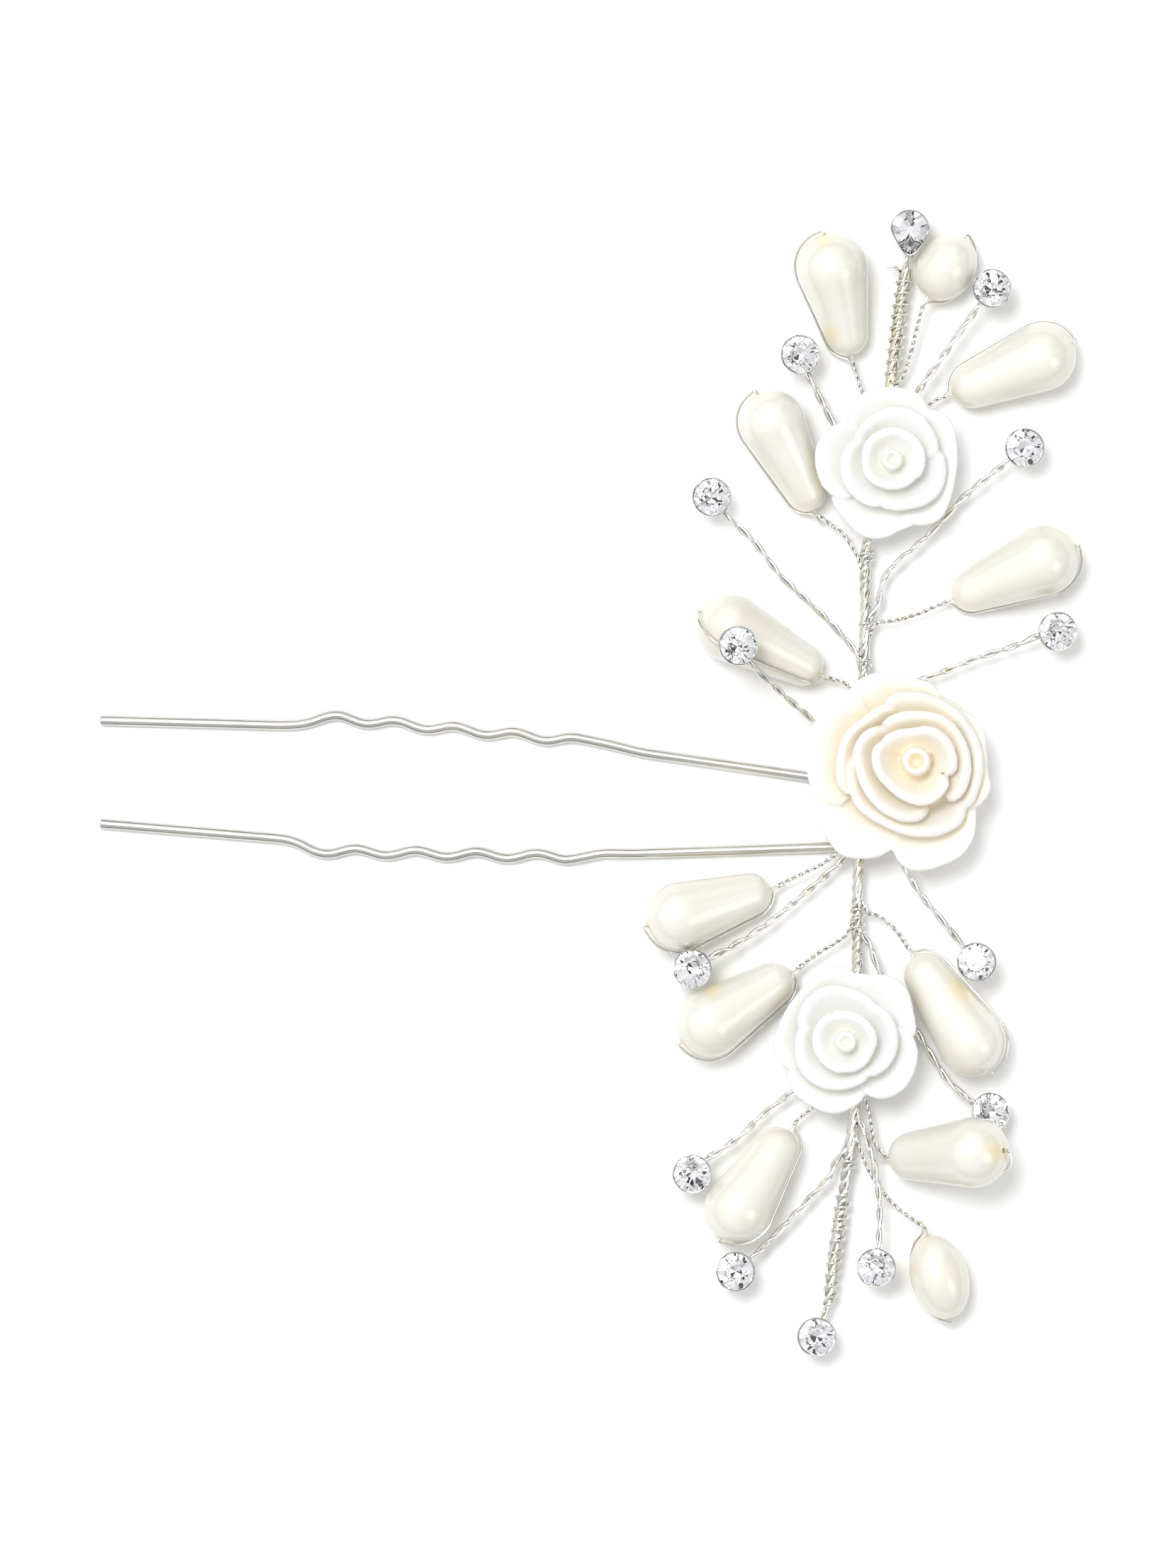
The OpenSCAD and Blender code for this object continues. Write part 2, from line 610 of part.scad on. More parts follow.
module pear_stone() {
    o = pear_outline();
    n = len(o);
    girdle_h = 0.07;
    table = [for (p = o) [0.55 * p.x, 0.55 * p.y, crown_h]];
    top = [for (p = o) [p.x, p.y, 0]];
    low = [for (p = o) [p.x, p.y, -girdle_h]];
    points = concat(table, top, low, [[0, -0.3, -pavilion_h]]);
    faces = concat(
        [[for (i = [n - 1 : -1 : 0]) i]],
        [for (i = [0 : n - 1]) [i, (i + 1) % n, n + (i + 1) % n, n + i]],
        [for (i = [0 : n - 1]) [n + i, n + (i + 1) % n, 2 * n + (i + 1) % n, 2 * n + i]],
        [for (i = [0 : n - 1]) [2 * n + i, 2 * n + (i + 1) % n, 3 * n]]);
    polyhedron(points, faces);
}

module crystal(i) {
    color("white")
        place(i)
            rotate([0, 0, crystals[i][3]]) {
                if (i == 0) rotate([0, 0, -crystals[i][3]]) pear_stone();
                else round_stone();
            }
}

// ---- Roses ----

// One petal: a sector of a turned wall, w degrees wide.
module petal(outline, turn, w) {
    rotate([0, 0, turn - w / 2]) rotate_extrude(angle = w, $fn = round_n) polygon(outline);
}

module rose(r, h) {
    n = len(petal_shares);
    cylinder(h = 0.3 * h, r = 0.6 * r, $fn = round_n);
    for (i = [0 : n - 1]) {
        p = petal_shares[i] * r;
        petal([[0, 0], [0.62 * p, 0], [p, 0.4 * h], [p, 0.46 * h], [0.92 * p, 0.5 * h],
            [0.6 * p, 0.3 * h], [0, 0.3 * h]], 360 / n * i, 360 / n + 6);
    }
    for (i = [0 : 3])
        petal([[0.3 * r, 0.2 * h], [(0.64 + 0.03 * i) * r, 0.62 * h], [(0.6 + 0.03 * i) * r, 0.72 * h],
            [0.25 * r, 0.4 * h]], 90 * i + 20, 104);
    for (i = [0 : 2])
        petal([[0.12 * r, 0.25 * h], [(0.4 + 0.03 * i) * r, 0.8 * h], [(0.34 + 0.03 * i) * r, 0.9 * h],
            [0.06 * r, 0.5 * h]], 120 * i + 50, 130);
    cylinder(h = 0.94 * h, r = 0.15 * r, $fn = round_n);
    translate([0, 0, 0.94 * h]) cylinder(h = 0.06 * h, r1 = 0.15 * r, r2 = 0.1 * r, $fn = round_n);
}

module rose_at(p, d, h, turn) {
    q = spread([p.x, p.y, rose_z]);
    color("ivory") translate(q) rotate([0, 0, turn]) rose(d / 2, h);
}

module glue_pad(p, r) {
    q = spread([p.x, p.y, rose_z - pin_side_gap - glue_t]);
    translate(q) cylinder(h = glue_t, r = r, $fn = round_n);
}

module rose_glue() {
    clear_r = 2.2;
    color("whitesmoke") {
        glue_pad(rose_upper, small_rose_d / 4);
        glue_pad(rose_lower, small_rose_d / 4);
        difference() {
            glue_pad(rose_large, large_rose_d / 3.6);
            for (s = [-1, 1])
                translate(crossing(s)) cylinder(h = 20, r = clear_r, $fn = round_n);
        }
    }
}

// ---- The piece ----

hairpin();
spine();
spine_wrap();
pin_lashing();
rose_at(rose_large, large_rose_d, large_rose_h, 100);  // rose_center
rose_at(rose_upper, small_rose_d, small_rose_h, 30);  // rose_top
rose_at(rose_lower, small_rose_d, small_rose_h, 60);  // rose_bottom
rose_glue();
for (i = [0 : len(tears) - 1]) {
    tear_pearl(i);
    tear_wire(i);
}
for (i = [0 : len(ovals) - 1]) {
    oval_pearl(i);
    oval_wire(i);
}
for (i = [0 : len(crystals) - 1]) {
    crystal(i);
    crystal_stem(i);
}
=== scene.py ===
# %% [markdown]
# # A bridal hairpin with a wired spray
# The real object is a crimped wire U-pin. A rope of twisted silver wire is lashed across its bend,
# and carries three cast roses, drilled pearls and small cut stones on twisted stems. It lies on its
# back on a pale table and is seen from straight above. The imported CAD model is the frame: it gives
# every place and the bodies that move, and each visible piece but the glue pads is modelled new on top of it.

# %% Load the frame
import math
import bpy
from mathutils import Matrix, Vector


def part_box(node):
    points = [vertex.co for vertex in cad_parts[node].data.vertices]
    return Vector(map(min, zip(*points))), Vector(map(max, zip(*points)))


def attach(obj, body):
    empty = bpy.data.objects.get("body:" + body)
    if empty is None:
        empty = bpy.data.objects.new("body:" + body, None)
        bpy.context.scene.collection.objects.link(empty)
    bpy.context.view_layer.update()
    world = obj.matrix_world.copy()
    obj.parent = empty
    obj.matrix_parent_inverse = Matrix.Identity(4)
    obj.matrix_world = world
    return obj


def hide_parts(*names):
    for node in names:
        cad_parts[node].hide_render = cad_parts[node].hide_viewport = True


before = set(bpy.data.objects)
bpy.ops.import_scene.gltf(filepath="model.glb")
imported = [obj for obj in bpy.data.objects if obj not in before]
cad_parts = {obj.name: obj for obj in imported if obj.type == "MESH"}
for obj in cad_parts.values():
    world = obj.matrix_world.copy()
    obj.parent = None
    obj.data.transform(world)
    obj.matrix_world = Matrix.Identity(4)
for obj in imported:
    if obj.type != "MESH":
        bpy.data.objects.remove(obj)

bpy.ops.object.select_all(action="DESELECT")
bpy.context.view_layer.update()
MM = 0.001

# %% [markdown]
# ## Working unit and the last step of every piece
# Wires of a third of a millimetre are easier to think about in millimetres, so each piece is
# modelled with 1 unit = 1 mm. The last step brings it down to metres, applies that scale so that
# the object sits unturned and unscaled at the origin, shades it smooth up to a chosen angle, gives it
# its material, parents it to its body in the frame, and hides the CAD nodes that it replaces.

# %% Finish a piece
def select_only(obj):
    bpy.ops.object.select_all(action="DESELECT")
    obj.select_set(True)
    bpy.context.view_layer.objects.active = obj


def finish_piece(obj, name, material, nodes=(), body="frame", smooth=40):
    """Bring a piece from mm to metres, and hand it over. Without a smooth angle it stays faceted."""
    obj.name = obj.data.name = name
    select_only(obj)
    obj.scale = [s * MM for s in obj.scale]
    obj.location = [c * MM for c in obj.location]
    bpy.ops.object.transform_apply(location=True, rotation=True, scale=True)
    if smooth is None:
        bpy.ops.object.shade_flat()
    else:
        bpy.ops.object.shade_smooth_by_angle(angle=math.radians(smooth))
    if material is not None:
        obj.data.materials.clear()
        obj.data.materials.append(material)
    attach(obj, body)
    if nodes:
        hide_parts(*nodes)
    obj.select_set(False)
    return obj


print("pieces are modelled in mm and finished in metres")

# %% [markdown]
# ## Colours and nodes
# Colours are picked as sRGB hex values, as in any paint program. Blender computes in linear light,
# so one function converts them. One more adds a node with its settings and links, and one starts a
# material from the constants of its Principled shader, which stay on the shader's own sockets.

# %% Material helpers
TINT = {"data_type": "RGBA"}
MULTIPLY = {"data_type": "RGBA", "blend_type": "MULTIPLY"}


def linear(code):
    """The hex colour in linear light, by the sRGB curve."""
    parts = [int(code[i : i + 2], 16) / 255 for i in (1, 3, 5)]
    return [c / 12.92 if c <= 0.04045 else ((c + 0.055) / 1.055) ** 2.4 for c in parts] + [1.0]


def add_node(tree, kind, settings=None, stops=(), **inputs):
    """Add a node. Stops are a ramp's (place, colour) pairs, and an input called _6 is number 6."""
    node = tree.nodes.new(kind)
    for key, value in (settings or {}).items():
        setattr(node, key, value)
    for i, (place, colour) in enumerate(stops):
        node.color_ramp.elements[i].position = place
        node.color_ramp.elements[i].color = colour
    for key, value in inputs.items():
        socket = node.inputs[int(key[1:])] if key[1:].isdigit() else node.inputs[key.replace("_", " ")]
        if isinstance(value, bpy.types.NodeSocket):
            tree.links.new(value, socket)
        else:
            socket.default_value = value
    return node


def new_material(name, **constants):
    material = bpy.data.materials.new(name)
    material.use_nodes = True
    shader = material.node_tree.nodes["Principled BSDF"]
    for key, value in constants.items():
        shader.inputs[key.replace("_", " ")].default_value = value
    return material, material.node_tree, shader


print("white #ffffff is", linear("#ffffff"))

# %% [markdown]
# ## Silver-plated craft wire
# Soft copper wire, drawn thin and silver-plated, then twisted by hand. The plating is bright, so it
# shows the room as thin light and dark lines. Where it has been handled it turns slightly straw
# yellow, in patches a few millimetres long: a slow noise mixes the two tints. The grooves between
# twisted strands get a painted shade: ambient occlusion finds them, and darkens the colour there.

# %% Wire material
def straw_silver_with_painted_shade(name, silver, straw, patch, roughness, low=0.52, high=0.72):
    """Silver to straw in patches of that many mm, where the noise goes from low to high, with painted shade
    where ambient occlusion finds grooves.
    """
    material, tree, shader = new_material(name, Metallic=1.0, Roughness=roughness)
    place = add_node(tree, "ShaderNodeTexCoord").outputs["Object"]
    slow = add_node(tree, "ShaderNodeTexNoise", Vector=place, Scale=1 / (patch * MM), Detail=2.0)
    tint = add_node(tree, "ShaderNodeValToRGB", stops=[(low, linear(silver)), (high, linear(straw))],
                    Fac=slow.outputs["Fac"])
    # painted shade: darker grey where ambient occlusion finds grooves between strands and parts
    groove = add_node(tree, "ShaderNodeAmbientOcclusion", {"samples": 6}, Distance=0.4 * MM)
    painted_groove_shade = add_node(tree, "ShaderNodeValToRGB", stops=[(0.15, linear("#b4b1a9")), (0.6, linear("#ffffff"))],
                    Fac=groove.outputs["AO"])
    straw_and_painted_shade = add_node(tree, "ShaderNodeMix", MULTIPLY, Factor=1.0,
                    _6=tint.outputs["Color"], _7=painted_groove_shade.outputs["Color"])
    tree.links.new(straw_and_painted_shade.outputs[2], shader.inputs["Base Color"])
    fine = add_node(tree, "ShaderNodeTexNoise", Vector=place, Scale=1 / (0.35 * MM), Detail=1.0)
    dents = add_node(tree, "ShaderNodeBump", Height=fine.outputs["Fac"], Strength=0.12, Distance=0.05 * MM)
    tree.links.new(dents.outputs["Normal"], shader.inputs["Normal"])
    return material


silver_wire = straw_silver_with_painted_shade("silver_plated_copper_wire", "#efeeeb", "#ebe5d2", 4.0, 0.15)
rope_wire = straw_silver_with_painted_shade("silver_plated_rope_wire", "#e8e6e0", "#e8e0c8", 6.0, 0.18, 0.42, 0.66)
print("wire materials:", silver_wire.name, rope_wire.name)

# %% [markdown]
# ## Plated steel wire of the pin
# Hard-drawn steel wire, nickel-plated and tumbled. It is greyer than the craft wire and its surface
# is a little satin along its length, so its reflections are soft bands.

# %% Pin material
pin_steel, tree, shader = new_material("nickel_plated_steel_wire", Metallic=1.0, Roughness=0.24)
place = add_node(tree, "ShaderNodeTexCoord").outputs["Object"]
slow = add_node(tree, "ShaderNodeTexNoise", Vector=place, Scale=1 / (9 * MM), Detail=2.0)
tint = add_node(tree, "ShaderNodeValToRGB", stops=[(0.35, linear("#cfcecb")), (0.7, linear("#dedbd3"))],
                Fac=slow.outputs["Fac"])
tree.links.new(tint.outputs["Color"], shader.inputs["Base Color"])
stretch = add_node(tree, "ShaderNodeMapping", Vector=place, Scale=(0.04, 1.0, 1.0))
drawn = add_node(tree, "ShaderNodeTexNoise", Vector=stretch.outputs["Vector"],
                 Scale=1 / (0.12 * MM), Detail=1.0)
lines = add_node(tree, "ShaderNodeBump", Height=drawn.outputs["Fac"], Strength=0.15, Distance=0.03 * MM)
tree.links.new(lines.outputs["Normal"], shader.inputs["Normal"])
print("pin material:", pin_steel.name)

# %% [markdown]
# ## Pearl coating
# The beads are plastic, dipped in a lacquer of fine pearl flakes. The coat is glossy over a softly
# glowing body, so the highlight has a blurred edge. The creamy rims are painted shade: ambient
# occlusion tints the body cream where it is hemmed in by the table and its neighbours. Around the
# drilled ends, and where glue from a neighbouring wire has run, it yellows. A value on the mesh
# marks those places.

# %% Pearl material
pearl_coat, tree, shader = new_material(
    "pearl_lacquered_bead", Roughness=0.34, IOR=1.7, Coat_Weight=0.8, Coat_Roughness=0.15, Coat_IOR=1.7,
    Subsurface_Weight=0.15, Subsurface_Radius=(1.0, 0.95, 0.85), Subsurface_Scale=0.8 * MM)
place = add_node(tree, "ShaderNodeTexCoord").outputs["Object"]
slow = add_node(tree, "ShaderNodeTexNoise", Vector=place, Scale=1 / (5 * MM), Detail=2.0)
body = add_node(tree, "ShaderNodeValToRGB", stops=[(0.35, linear("#eae8e1")), (0.68, linear("#e7e3d5"))],
                Fac=slow.outputs["Fac"])
# painted shade: the body is tinted cream where ambient occlusion finds it hemmed in
near = add_node(tree, "ShaderNodeAmbientOcclusion", {"samples": 8}, Distance=3.5 * MM)
painted_cream_shade = add_node(tree, "ShaderNodeValToRGB", stops=[(0.35, linear("#f3eedc")), (0.9, linear("#ffffff"))],
                 Fac=near.outputs["AO"])
body_with_painted_shade = add_node(tree, "ShaderNodeMix", MULTIPLY, Factor=1.0,
                _6=body.outputs["Color"], _7=painted_cream_shade.outputs["Color"])
pooled = add_node(tree, "ShaderNodeAttribute", {"attribute_name": "tip_tint"})
aged = add_node(tree, "ShaderNodeMix", TINT, Factor=pooled.outputs["Fac"],
                _6=body_with_painted_shade.outputs[2], _7=linear("#efe2b6"))
tree.links.new(aged.outputs[2], shader.inputs["Base Color"])
print("pearl material:", pearl_coat.name)

# %% [markdown]
# ## Cast resin
# The roses are polyester resin, cast in a rubber mould and left satin. Light goes a little way into
# it, so thin rims look white. The creamy deep folds are painted shade: ambient occlusion finds the
# folds, and mixes in the deeper tint. The large rose is ivory, the small ones are nearly white.

# %% Resin material
def cast_resin(name, rim, painted_fold_shade, reach):
    """Satin resin with a rim colour and a painted shade colour for the folds. Hollows within that many mm
    count as folds.
    """
    material, tree, shader = new_material(
        name, Roughness=0.42, IOR=1.5, Subsurface_Weight=0.8,
        Subsurface_Radius=(1.0, 0.93, 0.78), Subsurface_Scale=1.4 * MM)
    # painted shade: the fold colour is mixed in where ambient occlusion finds a hollow
    hollow = add_node(tree, "ShaderNodeAmbientOcclusion", {"samples": 8}, Distance=reach * MM)
    tint = add_node(tree, "ShaderNodeValToRGB", stops=[(0.3, linear(painted_fold_shade)), (0.92, linear(rim))],
                    Fac=hollow.outputs["AO"])
    tree.links.new(tint.outputs["Color"], shader.inputs["Base Color"])
    place = add_node(tree, "ShaderNodeTexCoord").outputs["Object"]
    grain = add_node(tree, "ShaderNodeTexNoise", Vector=place, Scale=1 / (1.6 * MM), Detail=3.0)
    skin = add_node(tree, "ShaderNodeBump", Height=grain.outputs["Fac"], Strength=0.1, Distance=0.1 * MM)
    tree.links.new(skin.outputs["Normal"], shader.inputs["Normal"])
    return material


# each resin gets a colour for the rims and a painted shade colour for the folds
ivory_resin = cast_resin("ivory_cast_resin", "#f0ede6", "#f5e9d2", 2.8)
white_resin = cast_resin("white_cast_resin", "#eeeeec", "#ecebe4", 2.4)
print("resin materials:", ivory_resin.name, white_resin.name)

# %% [markdown]
# ## Cut glass and its foil
# Each stone is lead-free crystal glass with a foiled back. Light enters the facets on top, is
# thrown about by the foil, and leaves through another facet. So the top facets are clear glass and
# the back facets are a mirror, and the light and dark pattern comes by itself. The cups are brass,
# plated with rhodium: a cooler, darker white than the silver wire. The glue under the roses has
# dried clear and glossy, with a straw tint.

# %% Stone and cup materials
crystal_glass, _, _ = new_material(
    "clear_crystal_glass", Base_Color=linear("#ffffff"), Roughness=0.0, IOR=1.56, Transmission_Weight=1.0)
silver_foil, _, _ = new_material(
    "silver_mirror_foil", Base_Color=linear("#fbfbfd"), Metallic=1.0, Roughness=0.03)
# the cups get the same painted shade, darker where ambient occlusion finds seats and joints
cup_metal = straw_silver_with_painted_shade("rhodium_plated_cup", "#dcdcda", "#e2d9bd", 8.0, 0.18, 0.6, 0.8)
set_glue, _, _ = new_material(
    "set_clear_glue", Base_Color=linear("#efe6c6"), Roughness=0.12, IOR=1.48, Transmission_Weight=0.35)
print("stone materials:", crystal_glass.name, silver_foil.name, cup_metal.name)

# %% [markdown]
# ## The plan
# These numbers are the CAD model's own, in millimetres: the spine's course, the places of pearls and
# stones, and for each stem where it leaves the spine and what it passes. The wires are laid along
# the same smooth curves as the CAD's wires, so the visible strands sit where the plain ones are.

# %% Plan tables
STEM_D, PAIR_D, STRAND_D = 0.64, 0.5, 0.3  # a stone's stem, a pearl's stem and its one strand
WRAP_R, SPINE_Z = 0.895, 1.955  # outside of the binding, and height of the spine's middle
# the spine's course, from its lower end to its upper end, as (y, x)
SPINE = [(-53.2, 24.3), (-48.2, 24.9), (-43.1, 25.7), (-38.0, 26.4), (-33.3, 27.0), (-26.4, 27.2),
         (-19.2, 27.3), (-13.4, 27.2), (-7.8, 27.4), (-3.3, 27.5), (4.0, 27.8), (11.2, 27.9),
         (17.0, 28.1), (22.1, 28.0), (24.6, 28.3), (29.3, 29.0), (36.6, 30.1), (42.4, 30.9),
         (48.2, 31.6), (52.4, 32.2)]
# x and y of the narrow tip, heading of the round end, length, width of the round and of the narrow
# end, extra height, extra tilt, and the side in degrees on which the strand comes back
TEARS = [(26.7, 43.6, 103, 12.8, 7.3, 4.3, 0, 0, -20), (36.9, 39.7, 22, 13.4, 7.0, 4.8, 0, 0, -15),
         (23.0, 27.9, 117, 13.3, 6.8, 4.2, 0, 0, -20), (37.0, 18.8, 23, 13.7, 7.3, 4.4, 0, 0, 200),
         (23.6, 11.1, 153, 14.0, 7.0, 4.4, 0, 0, 55), (18.4, -10.7, 197, 13.3, 7.0, 4.4, 0, 0, -10),
         (20.5, -19.3, 212, 13.4, 7.0, 4.5, 0, 0, -10), (33.0, -17.7, 304, 14.1, 7.0, 4.6, 0, 0, 15),
         (30.4, -38.2, 5, 13.3, 7.2, 5.0, 0.9, 24, 230), (20.3, -35.4, 237, 13.2, 7.1, 4.6, 0, 0, 25)]
# x and y of the tip, heading, length, width and the strand's side
OVALS = [(34.4, 49.5, 58, 7.2, 5.9, 215), (34.4, -46.1, 286, 8.8, 5.9, 215)]
# where a wire leaves the spine, on its right (1) or left (-1), and the places that it passes
TEAR_STEMS = [
    (36.8, -1, [(28.0, 39.3, 2.1), (27.3, 41.2, 2.0)]),
    (31.0, 1, [(32.3, 34.7, 2.1), (33.6, 37.2, 2.1), (34.9, 38.8, 2.0)]),
    (23.6, -1, [(25.9, 25.3, 2.1), (24.5, 26.4, 2.0)]),
    (16.3, 1, [(31.2, 16.6, 2.1), (33.6, 17.3, 2.0)]),
    (9.6, -1, [(25.8, 10.3, 2.1)]),
    (-6.0, -1, [(25.2, -7.2, 2.1), (23.6, -8.3, 2.1), (21.4, -9.4, 2.1)]),
    (-15.6, -1, [(25.0, -16.3, 2.1), (23.4, -17.3, 2.1)]),
    (-13.2, 1, [(29.6, -13.7, 2.1), (31.2, -15.0, 2.1)]),
    (-32.6, 1, [(28.7, -34.8, 2.1), (29.0, -36.6, 1.9)]),
    (-30.6, -1, [(24.4, -32.0, 2.1), (22.4, -33.4, 2.1)])]
OVAL_STEMS = [(41.6, 1, [(32.6, 43.4, 2.2), (33.2, 45.8, 2.4)]),
              (-37.5, 1, [(28.4, -39.4, 2.0), (29.6, -41.3, 2.1), (31.2, -43.2, 2.4)])]
CRYSTAL_STEMS = [
    (34.2, 1, [(31.4, 35.8, 2.1), (32.2, 37.8, 2.8), (33.9, 40.6, 3.0), (35.7, 43.1, 3.1),
               (37.2, 45.3, 3.2)]),
    (32.5, -1, [(26.2, 34.7, 2.2), (25.0, 36.3, 2.3), (23.8, 38.6, 2.4)]),
    (18.0, 1, [(30.0, 20.9, 2.2), (31.7, 22.8, 2.3), (33.9, 24.7, 2.4), (36.2, 27.1, 2.5),
               (38.3, 29.3, 2.6)]),
    (13.9, -1, [(24.5, 16.4, 2.2), (22.2, 18.6, 2.3), (19.4, 21.2, 2.4), (16.6, 24.7, 2.5)]),
    (2.6, -1, [(25.2, 4.3, 2.3), (22.8, 6.3, 3.4), (20.5, 8.2, 5.0), (18.7, 9.8, 6.6)]),
    (8.3, 1, [(31.4, 9.7, 2.2), (33.4, 10.4, 2.3), (36.0, 11.3, 2.4), (38.3, 12.3, 2.5), (41.2, 13.3, 2.6),
              (43.4, 14.0, 2.7)]),
    (-7.5, -1, [(24.9, -8.7, 2.1), (21.6, -11.5, 2.3), (18.2, -14.3, 2.5), (14.6, -16.6, 2.8)]),
    (-2.0, 1, [(30.0, -5.2, 2.1), (31.2, -7.1, 2.5), (32.5, -9.4, 2.9), (33.9, -11.6, 3.0),
               (36.1, -14.3, 3.1)]),
    (-16.5, 1, [(29.6, -19.4, 2.0), (31.3, -22.0, 1.9), (32.7, -24.2, 1.8), (34.4, -27.1, 1.7),
                (36.4, -30.2, 1.8)]),
    (-27.4, -1, [(23.5, -29.4, 2.1), (20.2, -31.8, 2.2), (17.2, -34.2, 2.3), (15.1, -36.2, 2.4)]),
    (-38.6, -1, [(24.4, -40.2, 2.1), (22.8, -41.9, 2.2), (20.9, -44.0, 2.3), (19.0, -46.0, 2.4)]),
    (-35.4, 1, [(28.5, -37.2, 2.8), (29.1, -39.6, 3.0), (29.5, -43.0, 3.1)])]
# x and y of the middle, height of the widest place, turn, and lean about X and about Y. The first
# stone is pear-shaped and sits on the spine's upper end, and the last sits on its lower end.
CRYSTALS = [(32.6, 56.4, 3.825, 0, 0, 0), (40.9, 50.3, 5.1, 10, -5, 4), (21.4, 43.6, 4.5, 31, 4, 6),
            (44.2, 34.1, 4.7, 22, 3, -3), (12.4, 29.1, 4.5, 5, -6, 5), (15.0, 13.9, 9.9, 17, -4, 7),
            (47.6, 15.4, 4.7, 38, 5, 4), (10.4, -18.9, 4.9, 26, 6, -7), (39.3, -18.2, 5.1, 14, -7, -6),
            (40.8, -33.5, 3.9, 8, -4, 12), (10.4, -39.8, 4.3, 35, 8, 3), (14.8, -49.7, 4.3, 19, -3, -4),
            (29.1, -49.3, 4.9, 3, 4, -6), (23.1, -56.4, 3.825, 29, 0, 0)]
print(len(TEARS), "tear pearls,", len(OVALS), "oval pearls,", len(CRYSTALS), "stones")

# %% [markdown]
# ## Curves for wires
# A wire is bent through a few places by hand, so its middle line is a smooth curve through a few
# points. It is then cut into even short steps. A direction that is carried along the line without
# turning lets several strands be wound round it.

# %% Wire paths
def spine_at(y):
    for (y0, x0), (y1, x1) in zip(SPINE, SPINE[1:]):
        if y <= y1 or (y1, x1) == SPINE[-1]:
            t = (y - y0) / (y1 - y0)
            return Vector((x0 + (x1 - x0) * max(0, min(1, t)), y, SPINE_Z))


def smooth_curve(points, step=0.2):
    """A Catmull-Rom curve through the points, cut into steps of about that many mm."""
    p = [Vector(q) for q in points]
    line = []
    for i in range(len(p) - 1):
        a, b, c, d = p[max(i - 1, 0)], p[i], p[i + 1], p[min(i + 2, len(p) - 1)]
        n = max(2, round((c - b).length / step))
        for j in range(n):
            t = j / n
            bend, twist = 2 * a - 5 * b + 4 * c - d, 3 * b - a - 3 * c + d
            line.append(b + t / 2 * ((c - a) + t * (bend + t * twist)))
    return line + [p[-1]]


def frames_along(line):
    """(point, side, up, distance) at each point, with the side carried along without twist."""
    out, side, far = [], None, 0.0
    for i, point in enumerate(line):
        ahead = (line[min(i + 1, len(line) - 1)] - line[max(i - 1, 0)]).normalized()
        start = side if side is not None else (Vector((0, 0, 1)) if abs(ahead.z) < 0.9 else Vector((1, 0, 0)))
        side = (start - start.dot(ahead) * ahead).normalized()
        far += (point - line[i - 1]).length if i else 0.0
        out.append((point, side, ahead.cross(side), far))
    return out


def wound(line, radius, pitch, count, phase=0.0, wobble=0.0):
    """That many strands wound round the line, with a turn every pitch mm. A wobble makes it uneven."""
    strands = []
    for k in range(count):
        strand = []
        for point, side, up, far in frames_along(line):
            a = 2 * math.pi * (far / pitch + k / count) + phase + wobble * math.sin(far * 1.7 + k * 2.1)
            strand.append(point + radius * (math.cos(a) * side + math.sin(a) * up))
        strands.append(strand)
    return strands


def wire_object(paths, radius, roundness=2, end=1.0):
    """A mesh of round wires along the paths, made from a curve with a round bevel and closed ends.
    The end is the share of the radius that is left at both tips."""
    curve = bpy.data.curves.new("wire", "CURVE")
    curve.dimensions = "3D"
    for path in paths:
        spline = curve.splines.new("POLY")
        spline.points.add(len(path) - 1)
        spline.points.foreach_set("co", [c for p in path for c in (*p, 1.0)])
        spline.points[0].radius = spline.points[-1].radius = end
    curve.bevel_depth = radius
    curve.bevel_resolution = roundness
    curve.use_fill_caps = True
    obj = bpy.data.objects.new("wire", curve)
    bpy.context.collection.objects.link(obj)
    select_only(obj)
    bpy.ops.object.convert(target="MESH")
    return bpy.context.view_layer.objects.active


print("spine runs through", tuple(round(c, 1) for c in spine_at(0.0)))

# %% [markdown]
# ## The hairpin
# One steel wire, bent into a U and crimped so that it holds in the hair. A round bevel along a
# smooth line gives it. The crimps are a cosine wave on each leg's middle line, the bend is an arc,
# and the tips are straight. The wire ends are cut square with a slight chamfer.

# %% Hairpin
PIN_D, BEND, BEND_R = 1.07, Vector((25.9, -3.2)), 3.3
TIP_X = BEND.x + BEND_R + PIN_D / 2 - 79.8
LIFT = 0.28  # how much higher the bend lies than the tips
WAVE_H, WAVE_N, WAVE_STEPS = 0.68, 4, 16  # full height of a crimp, crimps in a leg, points in each
# middle of the waves' line: its start and end, the knee, the tip's slope, and the drop to the bend
LEGS = {1: ((-1.6, 4.35), (-25.9, 6.65), (-31.3, 5.9), 0.027, 1.25),
        -1: ((-2.3, -7.55), (-27.0, -6.95), (-31.3, -5.7), 0.083, 0.35)}
KNEES = {1: [(-27.3, 6.7), (-28.4, 6.2), (-29.6, 5.98)], -1: [(-28.2, -7.0), (-29.4, -6.3), (-30.4, -5.9)]}
CHAMFER = 0.12  # length and depth of the chamfer on a tip


def pin_height(x):
    return PIN_D / 2 + LIFT * (x - TIP_X) / (BEND.x - TIP_X)


def leg_line(side):
    """One leg's middle line, from the bend to its tip."""
    first, last, knee = (Vector(v) for v in LEGS[side][:3])
    slope, drop = LEGS[side][3:]
    line = [first + Vector((7, -side * drop)), first + Vector((3.6, -side * 0.4))]
    for i in range(WAVE_STEPS * WAVE_N + 1):
        s = i / (WAVE_STEPS * WAVE_N)
        wave = WAVE_H / 2 * math.cos(2 * math.pi * WAVE_N * s)
        line.append(first + s * (last - first) + Vector((0, side * wave)))
    tip = Vector((TIP_X, knee.y + (knee.x - TIP_X) * slope))
    return line + [Vector(v) for v in KNEES[side]] + [knee, tip]


